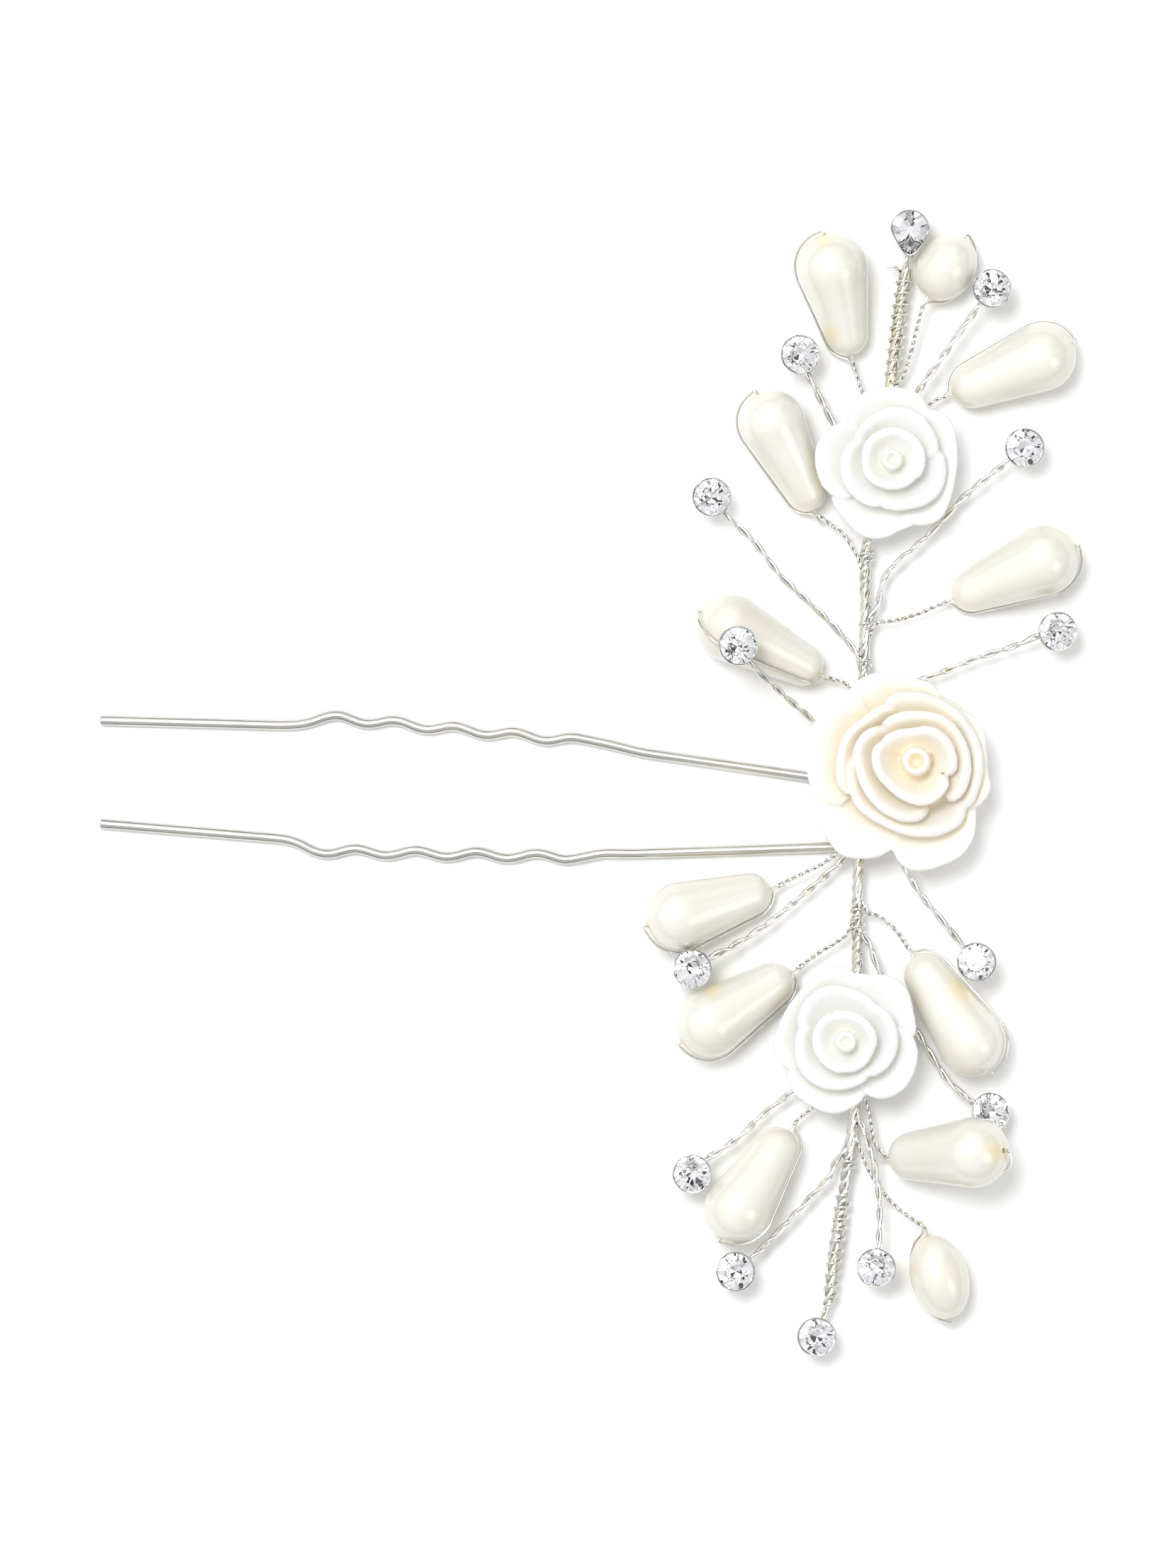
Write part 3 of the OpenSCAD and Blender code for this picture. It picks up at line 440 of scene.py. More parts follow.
def eased(points, step, rounds):
    """Even steps along straight runs between the points, then averaged so that bends turn softly."""
    line = []
    for p, q in zip(points, points[1:]):
        n = max(1, round((q - p).length / step))
        line += [p.lerp(q, i / n) for i in range(n)]
    line.append(points[-1])
    for _ in range(rounds):
        line = [line[0]] + [(a + 2 * b + c) / 4 for a, b, c in zip(line, line[1:], line[2:])] + [line[-1]]
    return line


arc = [math.radians(a) for a in range(81, -89, -6)]
bend_line = [BEND + BEND_R * Vector((math.cos(a), math.sin(a))) for a in arc]
middle = leg_line(1)[::-1] + bend_line + leg_line(-1)
pin_line = eased([Vector((p.x, p.y, pin_height(p.x))) for p in middle], 0.25, 10)
for place, inward in ((0, 1), (-1, -2)):
    tip = pin_line[place]
    pin_line.insert(1 if place == 0 else -1, tip + CHAMFER * (pin_line[inward] - tip).normalized())
pin = wire_object([pin_line], PIN_D / 2, 4, end=1 - CHAMFER / (PIN_D / 2))
finish_piece(pin, "pin_wire", pin_steel, ["hairpin"])
print("hairpin faces:", len(pin.data.polygons))

# %% [markdown]
# ## The spine
# The ends of all the stems are gathered and twisted into a loose rope. Four strands wound round the
# spine's line give its rope look, with a slow wobble so that the lay isn't machine-even, and one
# more fills the middle.

# %% Spine rope
ROPE_R, ROPE_STRAND_R, ROPE_PITCH, ROPE_STRANDS = 0.33, 0.28, 5.2, 4


def along_spine(low, high, count, step):
    """The smooth middle line of the rope from low to high, through that many stretches."""
    return smooth_curve([spine_at(low + (high - low) * i / count) for i in range(count + 1)], step)


spine_line = along_spine(SPINE[0][0], SPINE[-1][0], 60, 0.25)
strands = wound(spine_line, ROPE_R, ROPE_PITCH, ROPE_STRANDS, wobble=0.5)
rope = wire_object(strands + [spine_line], ROPE_STRAND_R)
finish_piece(rope, "spine_rope", rope_wire, ["spine"], smooth=60)
print("rope length mm:", round(frames_along(spine_line)[-1][3], 1))

# %% [markdown]
# ## Binding coils and lashing
# A thinner wire is coiled round the rope near both ends and at some forks, and its cut end sticks
# out near the top. At the pin's bend the same wire ties the rope to the pin where they cross. A
# coil is one strand wound round the same line, with a short pitch.

# %% Binding coils
COIL_R, BINDING_R = 0.745, 0.15
# each coil's lower and upper end along the spine, and its turns
COILS = [(-52.4, -42.0, 9), (-39.2, -38.1, 1.6), (-15.4, -12.4, 3.6), (11.9, 12.6, 1.1), (15.7, 16.4, 1.1),
         (22.7, 23.8, 1.4), (40.8, 51.8, 9.5)]
coils = []
for low, high, turns in COILS:
    coils += wound(along_spine(low, high, 12, 0.04), COIL_R, (high - low) / turns, 1, wobble=0.35)
cut_end = [spine_at(52.2) + Vector((-0.9, 0.3, 0.25)), spine_at(52.3) + Vector((-1.9, 0.4, 0.2))]
stub = smooth_curve([coils[-1][-1]] + cut_end, 0.1)
binding = wire_object(coils + [stub], BINDING_R)
finish_piece(binding, "binding_coils", silver_wire, ["spine_wrap"], smooth=60)
print("coils:", len(coils), "faces:", len(binding.data.polygons))

# %% Lashing at the bend
LASH_R, LASH_TURNS, LASH_STEPS = 0.1, 3, 24
CROSSING, LASH_LEAN = 61, 30.5  # degrees round the bend, and of the band across both wires
LASH_HALF, LASH_BAND = 0.92, 0.6  # half of a turn's reach across, and how far the turns spread
LASH_INSET = 0.11  # from the middle of the wire to the top and the bottom of the CAD's lashing


def lashing(side):
    """A flattened band of turns round the pin and the rope, where they cross on that side."""
    low, high = (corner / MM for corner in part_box("pin_lashing"))
    y = BEND.y + side * BEND_R * math.sin(math.radians(CROSSING))
    middle = Vector((spine_at(y).x, y, 0))
    turn = Matrix.Rotation(math.radians(LASH_LEAN * side), 3, "Z")
    bottom, top = low.z + LASH_INSET, high.z - LASH_INSET
    path = []
    for i in range(LASH_TURNS * LASH_STEPS + 1):
        a = 2 * math.pi * i / LASH_STEPS
        x = LASH_HALF * max(-1, min(1, 1.25 * math.cos(a)))
        z = (bottom + top) / 2 + (top - bottom) / 2 * max(-1, min(1, 1.15 * math.sin(a)))
        path.append(middle + turn @ Vector((x, (i / (LASH_TURNS * LASH_STEPS) - 0.5) * LASH_BAND, z)))
    return path


lash = wire_object([lashing(1), lashing(-1)], LASH_R, 1)
finish_piece(lash, "bend_lashing", silver_wire, ["pin_lashing"], smooth=60)
print("lashings: 2")

# %% [markdown]
# ## Stems of the stones
# Each stone hangs on a doubled wire that is twisted by hand, with long open turns. Two strands are
# wound round the stem's line. The line starts inside the rope, where the real strands go on.

# %% Crystal stems
CUP_R, PEAR_REACH = 2.02, 3.1  # from a cup's middle to its edge, where the stem comes in
SEAT_DEPTH, CUP_FLOOR = 1.35, 0.15
CHANNEL_Z = SEAT_DEPTH + CUP_FLOOR + STEM_D / 2 + 0.05  # depth of the stem's channel under a stone
STEM_STRAND_R, STEM_PITCH = 0.185, 4.6


def unit(v):
    return Vector(v).normalized()


def stem_course(stem, d):
    """From 2.6 mm inside the rope out to the stem's root, which is clear of the binding, and on."""
    y, side, passes = stem
    root = spine_at(y) + Vector((side * (WRAP_R + 0.05 + d / 2), 0, 0))
    back = -1 if passes[-1][1] > y else 1
    inside = spine_at(y + back * 2.6) + Vector((side * 0.15, 0, 0.1))
    beside = spine_at(y + back * 1.1) + Vector((side * 0.55, 0, 0.1))
    return [inside, beside, root] + [Vector(p) for p in passes]


def lean_of(stone):
    """The lean of a stone and its cup, about X and then about Y."""
    about_x, about_y = (math.radians(a) for a in stone[4:])
    return Matrix.Rotation(about_y, 3, "Y") @ Matrix.Rotation(about_x, 3, "X")


stem_lines = []
for i, stone in enumerate(CRYSTALS):
    seat = Vector(stone[:3])
    if i in (0, len(CRYSTALS) - 1):
        spine_end = spine_at(SPINE[-1][0] if i == 0 else SPINE[0][0])
        course = [spine_end + (spine_end - seat) * 0.3, spine_end]
    else:
        course = stem_course(CRYSTAL_STEMS[i - 1], STEM_D)
    way = seat - course[-1]
    heading = unit((way.x, way.y, 0))
    channel = Vector((0, 0, -CHANNEL_Z))
    reach = (PEAR_REACH if i == 0 else CUP_R) + 0.2
    course += [seat + lean_of(stone) @ (channel - reach * heading),
               seat + lean_of(stone) @ (channel + 1.4 * heading)]
    stem_lines.append(smooth_curve(course, 0.22))
    strands = wound(stem_lines[i], STEM_STRAND_R, STEM_PITCH, 2, phase=i * 0.9, wobble=0.3)
    stem = wire_object(strands, STEM_STRAND_R)
    finish_piece(stem, f"crystal_wire_{i + 1:02d}", silver_wire, smooth=60)
longest = max(frames_along(line)[-1][3] for line in stem_lines)
print("stems:", len(stem_lines), "longest mm:", round(longest, 1))

# %% [markdown]
# ## Stones and cups
# A cutter grinds a stone by holding it to a flat wheel at set angles. The same is done here: a
# drum is sliced by planes with the bisect tool, in the order of a brilliant cut. All round stones
# are one cut, copied, and the pear-shaped stone starts from a drum that is drawn out to a point. The
# back facets get the foil, the others the glass.

# %% Cut a round stone
STONE_R, TABLE_R = 1.82, 1.0
CROWN, BACK = 0.6, 1.5  # height above, and depth below, the widest place


def drum():
    """The round blank that a stone is ground from."""
    bpy.ops.mesh.primitive_cylinder_add(vertices=48, radius=STONE_R, depth=4)
    return bpy.context.active_object


def grind(normal, point):
    """Cut away all that lies beyond the plane, and close the cut with a facet."""
    bpy.ops.mesh.select_all(action="SELECT")
    bpy.ops.mesh.bisect(plane_co=point, plane_no=normal, use_fill=True, clear_outer=True)


def facet(azimuth, inner, outer):
    """The plane that faces the azimuth and holds the (radius, height) points inner and outer."""
    a = math.radians(azimuth)
    run, rise = outer[0] - inner[0], outer[1] - inner[1]
    up = 1 if rise < 0 else -1
    n = (abs(rise) * math.cos(a), abs(rise) * math.sin(a), up * run)
    return n, (outer[0] * math.cos(a), outer[0] * math.sin(a), outer[1])


cut = drum()
bpy.ops.object.mode_set(mode="EDIT")
grind((0, 0, 1), (0, 0, CROWN))
grind((0, 0, -1), (0, 0, -BACK))
for k in range(8):
    main, between = 45 * k, 45 * k + 22.5
    # the large facets on top, those below, and a small one beside the tip
    grind(*facet(main, (TABLE_R, CROWN), (STONE_R, 0.06)))
    grind(*facet(main, (0.36, -BACK), (STONE_R, -0.06)))
    grind(*facet(between, (0.0, -BACK), (0.8, -1.2)))
for k in range(8):
    # the star round the table
    grind(*facet(45 * k + 22.5, (TABLE_R * 0.93, CROWN), (STONE_R * 0.9, 0.24)))
for k in range(16):
    # the narrow facets along the widest place, above and below it
    half = 22.5 * k + 11.25
    grind(*facet(half, (STONE_R * 0.8, 0.36), (STONE_R, 0.05)))
    grind(*facet(half, (0.85, -1.06), (STONE_R, -0.1)))
bpy.ops.object.mode_set(mode="OBJECT")
print("round stone facets:", len(cut.data.polygons))

# %% Turn a cup
def turned(profile, steps=48):
    """A closed solid spun round Z from (radius, height) points."""
    bpy.ops.object.select_all(action="DESELECT")
    mesh = bpy.data.meshes.new("turned")
    mesh.from_pydata([(r, 0, z) for r, z in profile], [(i, i + 1) for i in range(len(profile) - 1)], [])
    obj = bpy.data.objects.new("turned", mesh)
    bpy.context.collection.objects.link(obj)
    select_only(obj)
    bpy.ops.object.mode_set(mode="EDIT")
    bpy.ops.mesh.select_all(action="SELECT")
    bpy.ops.mesh.spin(steps=steps, angle=2 * math.pi, center=(0, 0, 0), axis=(0, 0, 1))
    bpy.ops.mesh.select_all(action="SELECT")
    bpy.ops.mesh.remove_doubles(threshold=0.0005)
    bpy.ops.mesh.normals_make_consistent(inside=False)
    bpy.ops.object.mode_set(mode="OBJECT")
    return obj


# from the middle of its underside, up the wall, over the rim and down to the seat
cup = turned([(0, -2.35), (1.15, -2.35), (1.3, -2.2), (1.97, -0.5), (2.0, -0.1), (1.99, 0.1), (1.93, 0.16),
              (1.86, 0.12), (1.84, 0.04), (1.84, -0.12), (0.4, -1.56), (0, -1.58)])
print("cup faces:", len(cup.data.polygons))

# %% Cut the pear-shaped stone
POINT = 2.7  # from the middle of the round end to the point


def pear_plane(degrees, slope, height):
    """A facet's normal and its place on the pear's edge, where the outline runs in to the point."""
    x, y = math.cos(math.radians(degrees)), math.sin(math.radians(degrees))
    reach = STONE_R if y >= -0.1 else STONE_R * (1 + 0.42 * (-y) ** 3) - 0.22 * abs(x)
    level, up = slope
    return (level * x, level * y, up), (x * reach, y * reach, height)


pear = drum()
for v in pear.data.vertices:
    if v.co.y < 0:
        taper = -v.co.y / STONE_R
        v.co.x *= max(0.05, 1 - taper ** 2.2) ** 0.2 * (1 - 0.28 * taper)
        v.co.y *= POINT / STONE_R
bpy.ops.object.mode_set(mode="EDIT")
grind((0, 0, 1), (0, 0, CROWN))
grind((0, 0, -1), (0, 0, -BACK))
for k in range(12):
    grind(*pear_plane(30 * k, (0.62, 0.8), 0.06))
    grind(*pear_plane(30 * k, (0.7, -0.7), -0.06))
for k in range(12):
    grind(*pear_plane(30 * k + 15, (0.75, 0.66), 0.1))
bpy.ops.object.mode_set(mode="OBJECT")
print("pear stone facets:", len(pear.data.polygons))

# %% Set the stones
def copy_of(obj, matrix):
    """A copy with its own mesh, moved by the matrix."""
    twin = obj.copy()
    twin.data = obj.data.copy()
    bpy.context.collection.objects.link(twin)
    twin.data.transform(matrix)
    return twin


def foil_back(obj):
    """Glass on top and foil on every facet that faces down."""
    obj.data.materials.clear()
    obj.data.materials.append(crystal_glass)
    obj.data.materials.append(silver_foil)
    for face in obj.data.polygons:
        face.material_index = 1 if face.normal.z < -0.05 else 0


def draw_out(holder, middle):
    """Stretch a round cup's lower side so that it follows the pear's point."""
    for v in holder.data.vertices:
        p = v.co - middle
        if p.y < 0:
            taper = min(1, -p.y / 2.0)
            v.co.x = middle.x + p.x * (1 - 0.25 * taper)
            v.co.y = middle.y + p.y * (1 + 0.45 * taper ** 2)


for master in (cut, pear):
    foil_back(master)
for i, stone in enumerate(CRYSTALS):
    middle = Vector(stone[:3])
    lean = Matrix.Translation(middle) @ lean_of(stone).to_4x4()
    gem = copy_of(pear if i == 0 else cut, lean @ Matrix.Rotation(math.radians(stone[3]), 4, "Z"))
    finish_piece(gem, f"stone_{i + 1:02d}", None, [f"crystal_{i + 1:02d}"], smooth=None)
    holder = copy_of(cup, lean)
    if i == 0:
        draw_out(holder, middle)
    stem_node = f"crystal_stem_{i + 1:02d}"
    finish_piece(holder, f"stone_cup_{i + 1:02d}", cup_metal, [stem_node], smooth=35)
for master in (cut, pear, cup):
    bpy.data.objects.remove(master)
print("stones set:", len(CRYSTALS))

# %% [markdown]
# ## Pearls
# A bead is pressed plastic, drilled along its length and dipped in lacquer, so it is a smooth turned
# shape with soft lips at both holes. Half its outline is spun round the bore. The tear shape is a
# large and a small circle joined by straight flanks, and the oval an ellipse.

# %% Spin the pearls
def tear_outline(length, wide, narrow, n=18):
    """(distance along the bore, radius) from the narrow tip to the round end."""
    r, big = narrow / 2, wide / 2
    span = length - r - big
    a = math.asin((big - r) / span)
    small_arc = [(math.pi / 2 - a) * i / n for i in range(n + 1)]
    large_arc = [math.pi / 2 - a + (math.pi / 2 + a) * i / (2 * n) for i in range(2 * n + 1)]
    near = [(r * (1 - math.cos(t)), r * math.sin(t)) for t in small_arc]
    far = [(r + span - big * math.cos(t), big * math.sin(t)) for t in large_arc]
    x0, y0 = near[-1]
    x1, y1 = far[0]
    flank = [(x0 + (x1 - x0) * t, y0 + (y1 - y0) * t) for t in (i / 12 for i in range(1, 12))]
    return near + flank + far


def oval_outline(length, width, n=36):
    arc = [math.pi * i / n for i in range(n + 1)]
    return [(length / 2 * (1 - math.cos(t)), width / 2 * math.sin(t)) for t in arc]


def direction(heading, tilt):
    h, e = math.radians(heading), math.radians(tilt)
    return Vector((math.cos(e) * math.cos(h), math.cos(e) * math.sin(h), math.sin(e)))


def tear_place(x, y, heading, length, wide, narrow, extra_height, extra_tilt):
    """Tip, direction, outline and length of a tear pearl that lies on its flank."""
    span = length - wide / 2 - narrow / 2
    d = direction(heading, math.degrees(math.asin((wide - narrow) / 2 / span)) + extra_tilt)
    small = Vector((x, y, narrow / 2 + extra_height)) + narrow / 2 * direction(heading, 0)
    return small - narrow / 2 * d, d, tear_outline(length, wide, narrow), length


def oval_place(x, y, heading, length, width):
    return Vector((x, y, width / 2)), direction(heading, 0), oval_outline(length, width), length


BORE_R, LIP = 0.24, 0.25  # radius of the bore, and depth of its rounded lip
# x, y and size of the places on the pearls where glue has run
GLUE_STAINS = [(23.6, 55.6, 1.0), (24.4, 45.6, 0.9), (37.9, -20.9, 1.5), (41.0, -37.3, 1.1),
               (12.4, -21.0, 0.9), (17.6, -27.4, 0.8), (32.4, -49.6, 0.9)]
GLUE_FLOOR = 2.5  # glue stays on a pearl's upper side, above this height


def bead(tip, d, outline, length):
    """A drilled bead along d from its tip, with its yellowed places marked."""
    outer = [(r, x) for x, r in outline if r > BORE_R + 0.05]
    first, last = outer[0][1], outer[-1][1]
    profile = [(BORE_R, last - LIP), (BORE_R, first + LIP), (BORE_R + 0.02, first + 0.06)] + outer
    profile += [(BORE_R + 0.02, last - 0.06), (BORE_R, last - LIP)]
    obj = turned(profile, 72)
    tint = obj.data.attributes.new("tip_tint", "FLOAT", "POINT")
    for v in obj.data.vertices:
        wide = math.hypot(v.co.x, v.co.y)
        near_tip, far_tip = wide + 0.8 * v.co.z, wide + 0.8 * (length - v.co.z)
        uneven = 0.7 + 0.3 * math.sin(math.atan2(v.co.y, v.co.x) * 2 + tip.x)
        ends = 0.85 * math.exp(-((near_tip / 1.9) ** 2)) + 0.75 * math.exp(-((far_tip / 1.5) ** 2))
        tint.data[v.index].value = uneven * ends
    turn = d.to_track_quat("Z", "Y").to_matrix().to_4x4()
    obj.data.transform(Matrix.Translation(tip) @ turn)
    for v in obj.data.vertices:
        if v.co.z > GLUE_FLOOR:
            for x, y, size in GLUE_STAINS:
                far = math.hypot(v.co.x - x, v.co.y - y) / size
                tint.data[v.index].value = max(tint.data[v.index].value, math.exp(-far * far))
    return obj


PEARLS = [(f"teardrop_pearl_{i + 1:02d}", *tear_place(*plan), TEAR_STEMS[i], side)
          for i, (*plan, side) in enumerate(TEARS)]
PEARLS += [(f"oval_pearl_{i + 1:02d}", *oval_place(*plan), OVAL_STEMS[i], side)
           for i, (*plan, side) in enumerate(OVALS)]
for name, tip, d, outline, length, _, _ in PEARLS:
    pearl = bead(tip, d, outline, length)
    finish_piece(pearl, f"bead_{name}", pearl_coat, [name], body=name, smooth=50)
print("pearls:", len(PEARLS))

# %% [markdown]
# ## Pearl wires
# Behind a pearl two strands are twisted tightly. One goes through the bore, bends over the round
# end and lies back along the outside to the twist. Both are laid where the CAD's wire is, a hair
# clear of the bead, so that the bead can spin on its strand.

# %% Pearl wires
PAIR_R, PAIR_STRAND_R, PAIR_PITCH = 0.125, 0.12, 1.5
LOOP_STRAND_R, LOOP_GAP = 0.13, 0.16


def pearl_wire(tip, d, outline, length, stem, side):
    """The twisted pair behind a pearl, and the one strand through it and back along its outside."""
    across = unit((-d.y, d.x, 0))
    s = math.cos(math.radians(side)) * across + math.sin(math.radians(side)) * d.cross(across)
    off = LOOP_GAP + STRAND_D / 2
    twist = smooth_curve(stem_course(stem, PAIR_D) + [tip - 0.75 * d], 0.12)
    through = [tip + far * d for far in (-0.75, -0.3, 0.6, length - 0.6, length)]
    round_end = [tip + (length + 0.25) * d + 0.05 * s, tip + (length + 0.36) * d + 0.34 * s]
    back = []
    for i in range(len(outline) - 5, 5, -2):
        x, r = outline[i]
        run, rise = outline[i + 1][0] - outline[i - 1][0], outline[i + 1][1] - outline[i - 1][1]
        out = unit((-rise, run, 0))
        back.append(tip + (x + off * out.x) * d + (r + off * out.y) * s)
    tail = [tip - 0.3 * d + 0.6 * s, tip - 0.8 * d + 0.3 * s, tip - 1.6 * d + 0.15 * s]
    pair = wound(twist, PAIR_R, PAIR_PITCH, 2, phase=tip.x)
    return pair, smooth_curve(through + round_end + back + tail, 0.15)


for name, tip, d, outline, length, stem, side in PEARLS:
    twisted, single = pearl_wire(tip, d, outline, length, stem, side)
    pair = wire_object(twisted, PAIR_STRAND_R, 1)
    loop = wire_object([single], LOOP_STRAND_R)
    select_only(pair)
    loop.select_set(True)
    bpy.ops.object.join()
    wire_node = name.replace("_pearl_", "_wire_")
    finish_piece(pair, f"strand_{wire_node}", silver_wire, [wire_node], smooth=60)
print("pearl wires:", len(PEARLS))

# %% [markdown]
# ## Roses
# A resin rose is cast from a hand-made one: petals are thin curved sheets, rolled outwards at their
# rims, each tucked behind the next, round a small bud. Each petal is a sheet whose rim follows a
# few (angle, radius) pairs, and whose ends are tucked in and down. Solidify gives it thickness, and
# all petals are joined with a core and melted together by a voxel remesh, which gives the soft
# joints of a casting.

# %% Petal sheets
TUCK = 14  # degrees at each end of a petal that bend inwards and down


def petal_sheet(rim, height, foot, foot_z, roll, steps=34):
    """A petal from its foot, at that share of the rim's radius, up to the rim and its rolled edge."""
    line = smooth_curve([(a, r, 0) for a, r in rim], 1.0)
    # shares of the way out and of the way up, then shares of the roll outwards and downwards
    rows = [(0.0, 0.0), (0.3, 0.28), (0.55, 0.55), (0.75, 0.79), (0.9, 0.95), (1.0, 1.0)]
    lip = [(0.35, 0.03), (0.7, 0.18), (1.0, 0.5)]
    first, last = rim[0][0], rim[-1][0]
    columns = []
    for i in range(steps + 1):
        a = first + (last - first) * i / steps
        nearest = min(line, key=lambda p: abs(p.x - a))
        tuck = max(0.0, 1 - min(a - first, last - a) / TUCK) ** 2
        wave = 1 + 0.04 * math.sin(math.radians(2.7 * a) + 2 * height)
        columns.append((math.radians(a), nearest.y * (1 - 0.1 * tuck), height * wave * (1 - 0.12 * tuck)))
    points, count = [], len(rows) + len(lip)
    for a, r, top in columns:
        for f, z in rows:
            rr = r * (foot + (1 - foot) * f)
            points.append((rr * math.cos(a), rr * math.sin(a), foot_z + (top - foot_z) * z))
        for out, down in lip:
            points.append(((r + out * roll) * math.cos(a), (r + out * roll) * math.sin(a), top - down * roll))
    faces = [(i * count + j, i * count + j + 1, (i + 1) * count + j + 1, (i + 1) * count + j)
             for i in range(steps) for j in range(count - 1)]
    mesh = bpy.data.meshes.new("petal")
    mesh.from_pydata(points, [], faces)
    obj = bpy.data.objects.new("petal", mesh)
    bpy.context.collection.objects.link(obj)
    return obj


# height of the rim, share and height of the foot, roll of the edge, thickness, and the rim's outline
LARGE = [
    # inner cup of two petals
    (6.1, 0.55, 4.0, 0.5, 0.42,
     [(148, 3.75), (171, 4.0), (198, 3.75), (223, 3.45), (254, 3.65), (279, 4.0), (302, 3.9),
      (333, 3.4)]),
    (5.9, 0.55, 4.2, 0.5, 0.42,
     [(-22, 3.7), (13, 3.6), (41, 3.5), (66, 3.3), (96, 2.85), (130, 3.3), (152, 3.75)]),
    # second ring
    (5.1, 0.62, 3.3, 0.5, 0.42,
     [(136, 5.0), (149, 5.4), (170, 5.9), (187, 5.6), (207, 5.55), (225, 5.6), (264, 5.7), (285, 5.1)]),
    (5.1, 0.66, 3.8, 0.5, 0.42,
     [(-50, 5.3), (-30, 5.3), (-3, 5.1), (23, 4.9), (51, 4.9), (82, 4.6), (117, 4.7), (134, 4.9)]),
    # third ring, with the thin wavy rims on the left
    (4.1, 0.7, 2.6, 0.5, 0.42,
     [(172, 6.1), (181, 6.2), (202, 6.7), (219, 7.0), (238, 6.8), (255, 6.9), (275, 7.2), (298, 7.4),
      (318, 7.1)]),
    (4.3, 0.72, 2.6, 0.4, 0.4,
     [(112, 6.2), (137, 6.4), (158, 7.2), (177, 7.5), (190, 7.7), (206, 8.1)]),
    (4.1, 0.7, 3.0, 0.5, 0.42,
     [(-48, 6.9), (-20, 6.5), (10, 6.3), (40, 6.2), (70, 6.3), (100, 6.6), (120, 6.6)]),
    # outer petals
    (3.1, 0.5, 1.5, 0.3, 0.6,
     [(132, 9.0), (142, 9.3), (154, 10.3), (165, 10.7), (180, 10.6), (192, 10.5), (202, 10.0),
      (210, 9.2)]),
    (2.7, 0.5, 1.4, 0.3, 0.6,
     [(188, 10.2), (197, 10.5), (209, 11.0), (222, 11.5), (233, 11.6), (244, 10.6), (252, 9.8),
      (257, 8.9)]),
    (2.7, 0.5, 1.4, 0.3, 0.6,
     [(254, 8.8), (262, 10.2), (271, 10.7), (285, 10.5), (297, 10.2), (308, 9.2), (319, 7.8),
      (328, 7.2)]),
    (3.2, 0.5, 1.6, 0.3, 0.6,
     [(-47, 7.0), (-38, 7.4), (-30, 7.6), (-20, 7.7), (-7, 7.0), (11, 6.9), (24, 7.2), (37, 7.1),
      (50, 6.6), (66, 6.0)]),
    (2.9, 0.5, 1.5, 0.3, 0.6,
     [(60, 6.0), (68, 6.6), (79, 7.7), (89, 7.9), (99, 8.4), (115, 9.4), (126, 9.6), (136, 9.3),
      (148, 8.8)])]
SMALL = [
    (4.9, 0.55, 3.3, 0.45, 0.4,
     [(100, 2.6), (140, 2.7), (180, 2.55), (215, 2.7), (250, 2.6), (290, 2.6), (325, 2.7)]),
    (4.7, 0.55, 3.4, 0.45, 0.4,
     [(-42, 2.8), (-10, 2.9), (20, 2.9), (55, 2.8), (85, 2.75), (115, 2.8)]),
    (3.9, 0.62, 2.6, 0.45, 0.4,
     [(150, 4.0), (165, 4.3), (186, 4.7), (212, 4.9), (237, 4.8), (260, 4.5)]),
    (3.7, 0.64, 2.7, 0.45, 0.4,
     [(250, 4.4), (269, 4.6), (292, 4.9), (316, 5.4), (334, 5.4), (357, 5.0), (375, 4.6)]),
    (3.8, 0.64, 2.8, 0.45, 0.4,
     [(5, 4.4), (39, 4.7), (62, 5.0), (84, 4.9), (105, 4.6), (124, 4.3), (155, 3.9)]),
    (2.5, 0.5, 1.3, 0.25, 0.55,
     [(136, 5.2), (148, 6.4), (160, 7.1), (172, 7.4), (187, 7.3), (200, 7.1), (211, 6.6), (222, 5.9)]),
    (2.1, 0.5, 1.2, 0.25, 0.55,
     [(205, 6.4), (213, 6.9), (231, 7.2), (246, 7.8), (261, 7.7), (278, 6.8), (290, 6.6), (300, 6.4)]),
    (2.3, 0.5, 1.2, 0.25, 0.55,
     [(285, 6.4), (295, 7.0), (310, 7.4), (320, 7.1), (331, 6.7), (347, 6.4)]),
    (2.5, 0.5, 1.3, 0.25, 0.55,
     [(-35, 6.8), (-25, 6.6), (-12, 6.4), (14, 6.5), (26, 6.8), (35, 6.9), (49, 6.5), (58, 6.3)]),
    (2.3, 0.5, 1.2, 0.25, 0.55,
     [(52, 6.2), (60, 6.6), (71, 7.0), (90, 7.1), (110, 7.1), (125, 6.4), (140, 5.8)])]
print("petals in the large rose:", len(LARGE), "in a small one:", len(SMALL))

# %% Cast a rose
def apply_modifier(obj, name, kind, **settings):
    modifier = obj.modifiers.new(name, kind)
    for key, value in settings.items():
        setattr(modifier, key, value)
    select_only(obj)
    bpy.ops.object.modifier_apply(modifier=modifier.name)


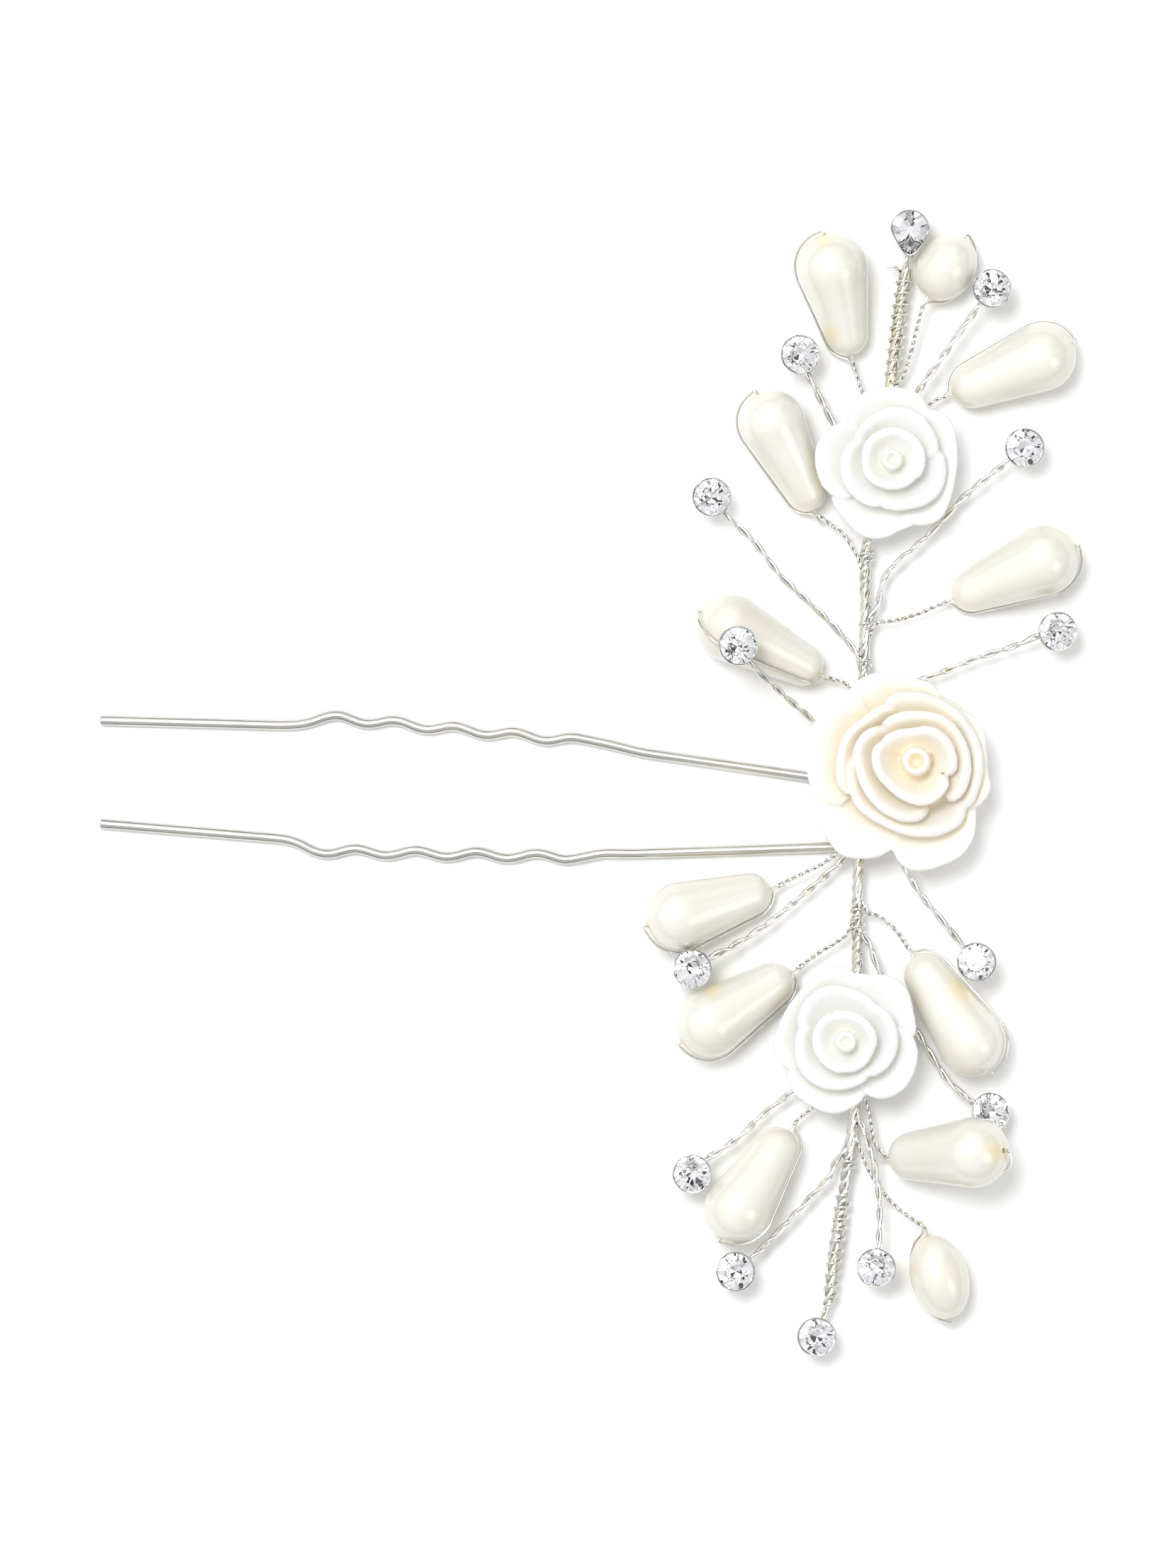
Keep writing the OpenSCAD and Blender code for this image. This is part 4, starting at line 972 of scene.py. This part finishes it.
def cast_rose(petals, core, bud, voxel, turn):
    """Petals, core and bud melted into one casting. The turn about Z is in degrees."""
    parts = []
    for height, foot, foot_z, roll, thick, rim in petals:
        sheet = petal_sheet(rim, height, foot, foot_z, roll)
        apply_modifier(sheet, "thickness", "SOLIDIFY", thickness=thick, offset=0.0)
        parts.append(sheet)
    heart = turned(core, 64)
    back_r = core[1][0]
    heart.location = (0.08 * back_r, 0.04 * back_r, 0)
    parts += [heart, turned(bud, 48)]
    bpy.ops.object.select_all(action="DESELECT")
    for part in parts:
        part.select_set(True)
    bpy.context.view_layer.objects.active = parts[0]
    bpy.ops.object.join()
    rose = bpy.context.view_layer.objects.active
    apply_modifier(rose, "melt", "REMESH", mode="VOXEL", voxel_size=voxel)
    apply_modifier(rose, "soften", "SMOOTH", factor=0.5, iterations=3)
    rose.data.transform(Matrix.Rotation(math.radians(turn), 4, "Z"))
    return rose


# cores and buds are turned from (radius, height) points
LARGE_CORE = [(0, 0), (5.2, 0), (6.4, 0.9), (7.0, 1.6), (6.2, 2.1), (5.0, 2.8), (3.7, 3.3), (2.6, 3.9),
              (0, 4.1)]
LARGE_BUD = [(0, 2.0), (1.55, 2.0), (1.5, 5.6), (1.42, 6.4), (1.22, 6.75), (0.98, 6.82), (0.78, 6.6),
             (0.62, 6.0), (0.5, 5.5), (0, 5.4)]
SMALL_CORE = [(0, 0), (3.8, 0), (4.6, 0.7), (5.2, 1.4), (4.6, 1.9), (3.5, 2.5), (2.3, 3.3), (0, 3.6)]
SMALL_BUD = [(0, 1.5), (1.15, 1.5), (1.1, 4.6), (1.05, 5.2), (0.88, 5.5), (0.68, 5.52), (0.52, 5.3),
             (0.42, 4.8), (0, 4.6)]
LARGE_ROSE = (LARGE, LARGE_CORE, LARGE_BUD, 0.15)
SMALL_ROSE = (SMALL, SMALL_CORE, SMALL_BUD, 0.14)
# node, mould, turn, middle in plan, resin and slot
ROSES = [("rose_center", LARGE_ROSE, 0, (33.0, 2.2), ivory_resin, "rose_ivory"),
         ("rose_top", SMALL_ROSE, 0, (30.6, 32.8), white_resin, "rose_white"),
         ("rose_bottom", SMALL_ROSE, 152, (25.9, -26.2), white_resin, "rose_white")]
for node, mould, turn, centre, resin, slot in ROSES:
    flower = cast_rose(*mould, turn)
    flower.data.transform(Matrix.Translation((*centre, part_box(node)[0].z / MM)))
    finish_piece(flower, f"cast_{node}", resin, [node], smooth=180)
    print(node, "faces:", len(flower.data.polygons))

# %% [markdown]
# ## Glue
# Clear glue holds each rose's flat back to the rope. The CAD pads have the right shape and mostly
# hide under the petals, so they stay and only get a slightly yellow, glossy finish.

# %% Glue pads
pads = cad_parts["rose_glue"]
pads.data.materials.clear()
pads.data.materials.append(set_glue)
print("glue pads keep", len(pads.data.polygons), "faces")

# %% [markdown]
# ## Table, light and camera
# The piece is shown on a white table. The key light is a softbox almost overhead, a little to the
# upper left, so that shadows are short and soft, and a weak one fills in from the right. Bright metal
# and glass need something dark to reflect, or they look like paper: so the room gets dark towards
# the horizon, and black flags hang here and there. The camera looks straight down from high above.

# %% Table
bpy.ops.mesh.primitive_plane_add(size=1.6, location=(0, 0, -0.00002))
table = bpy.context.active_object
table.name = "table_top"
table_white, _, _ = new_material(
    "white_card", Base_Color=linear("#fdfdfd"), Roughness=0.9, Specular_IOR_Level=0.1)
table.data.materials.append(table_white)
print("table is", round(table.dimensions.x, 2), "m wide")

# %% Softboxes
def softbox(name, place, size, power):
    """A round lamp of that size in metres and power in watts, aimed at the middle of the table."""
    bpy.ops.object.light_add(type="AREA", location=place)
    lamp = bpy.context.active_object
    lamp.name = name
    lamp.data.shape, lamp.data.size, lamp.data.energy = "DISK", size, power
    lamp.rotation_euler = (-Vector(place)).to_track_quat("-Z", "Y").to_euler()


softbox("key_softbox", (-0.17, 0.22, 0.8), 0.34, 4.0)
softbox("fill_softbox", (0.5, -0.2, 0.5), 0.35, 0.5)

# %% Room
def grey(level):
    """A share of the room's full light, the same in every colour."""
    return (level, level, level, 1.0)


room = bpy.data.worlds.new("studio_room")
bpy.context.scene.world = room
room.use_nodes = True
tree = room.node_tree
aim = add_node(tree, "ShaderNodeTexCoord").outputs["Generated"]
rise = add_node(tree, "ShaderNodeSeparateXYZ", Vector=aim)
horizon = add_node(tree, "ShaderNodeValToRGB", stops=[(0.1, grey(0.06)), (0.4, grey(1.0))],
                   Fac=rise.outputs["Z"])
toward = add_node(tree, "ShaderNodeVectorMath", {"operation": "DOT_PRODUCT"}, _0=aim, _1=(-0.5, 0.6, 0.62))
window = add_node(tree, "ShaderNodeValToRGB", stops=[(0.1, grey(0.55)), (0.95, grey(1.0))],
                  Fac=toward.outputs["Value"])
patchy = add_node(tree, "ShaderNodeTexNoise", Vector=aim, Scale=2.6, Detail=0.0)
flags = add_node(tree, "ShaderNodeValToRGB", stops=[(0.34, grey(0.05)), (0.38, grey(1.0))],
                 Fac=patchy.outputs["Fac"])
lit = add_node(tree, "ShaderNodeMix", MULTIPLY, Factor=1.0,
               _6=window.outputs["Color"], _7=horizon.outputs["Color"])
flagged = add_node(tree, "ShaderNodeMix", MULTIPLY, Factor=1.0,
                   _6=lit.outputs[2], _7=flags.outputs["Color"])
background = tree.nodes["Background"]
tree.links.new(flagged.outputs[2], background.inputs["Color"])
background.inputs["Strength"].default_value = 1.15
bpy.context.scene.view_settings.view_transform = "Standard"
print("room light:", round(background.inputs["Strength"].default_value, 2))

# %% Camera
HIGH, VIEW_HEIGHT, FILM = 0.9, 0.1603, 36.0  # m above the table, m of table in view, mm of film
bpy.ops.object.camera_add(location=(-0.0002, -0.0001, HIGH), rotation=(0, 0, 0))
camera = bpy.context.active_object
camera.name = "table_camera"
camera.data.lens = FILM * HIGH / VIEW_HEIGHT
camera.data.dof.use_dof = False
bpy.context.scene.camera = camera
print("lens mm:", round(camera.data.lens, 1))
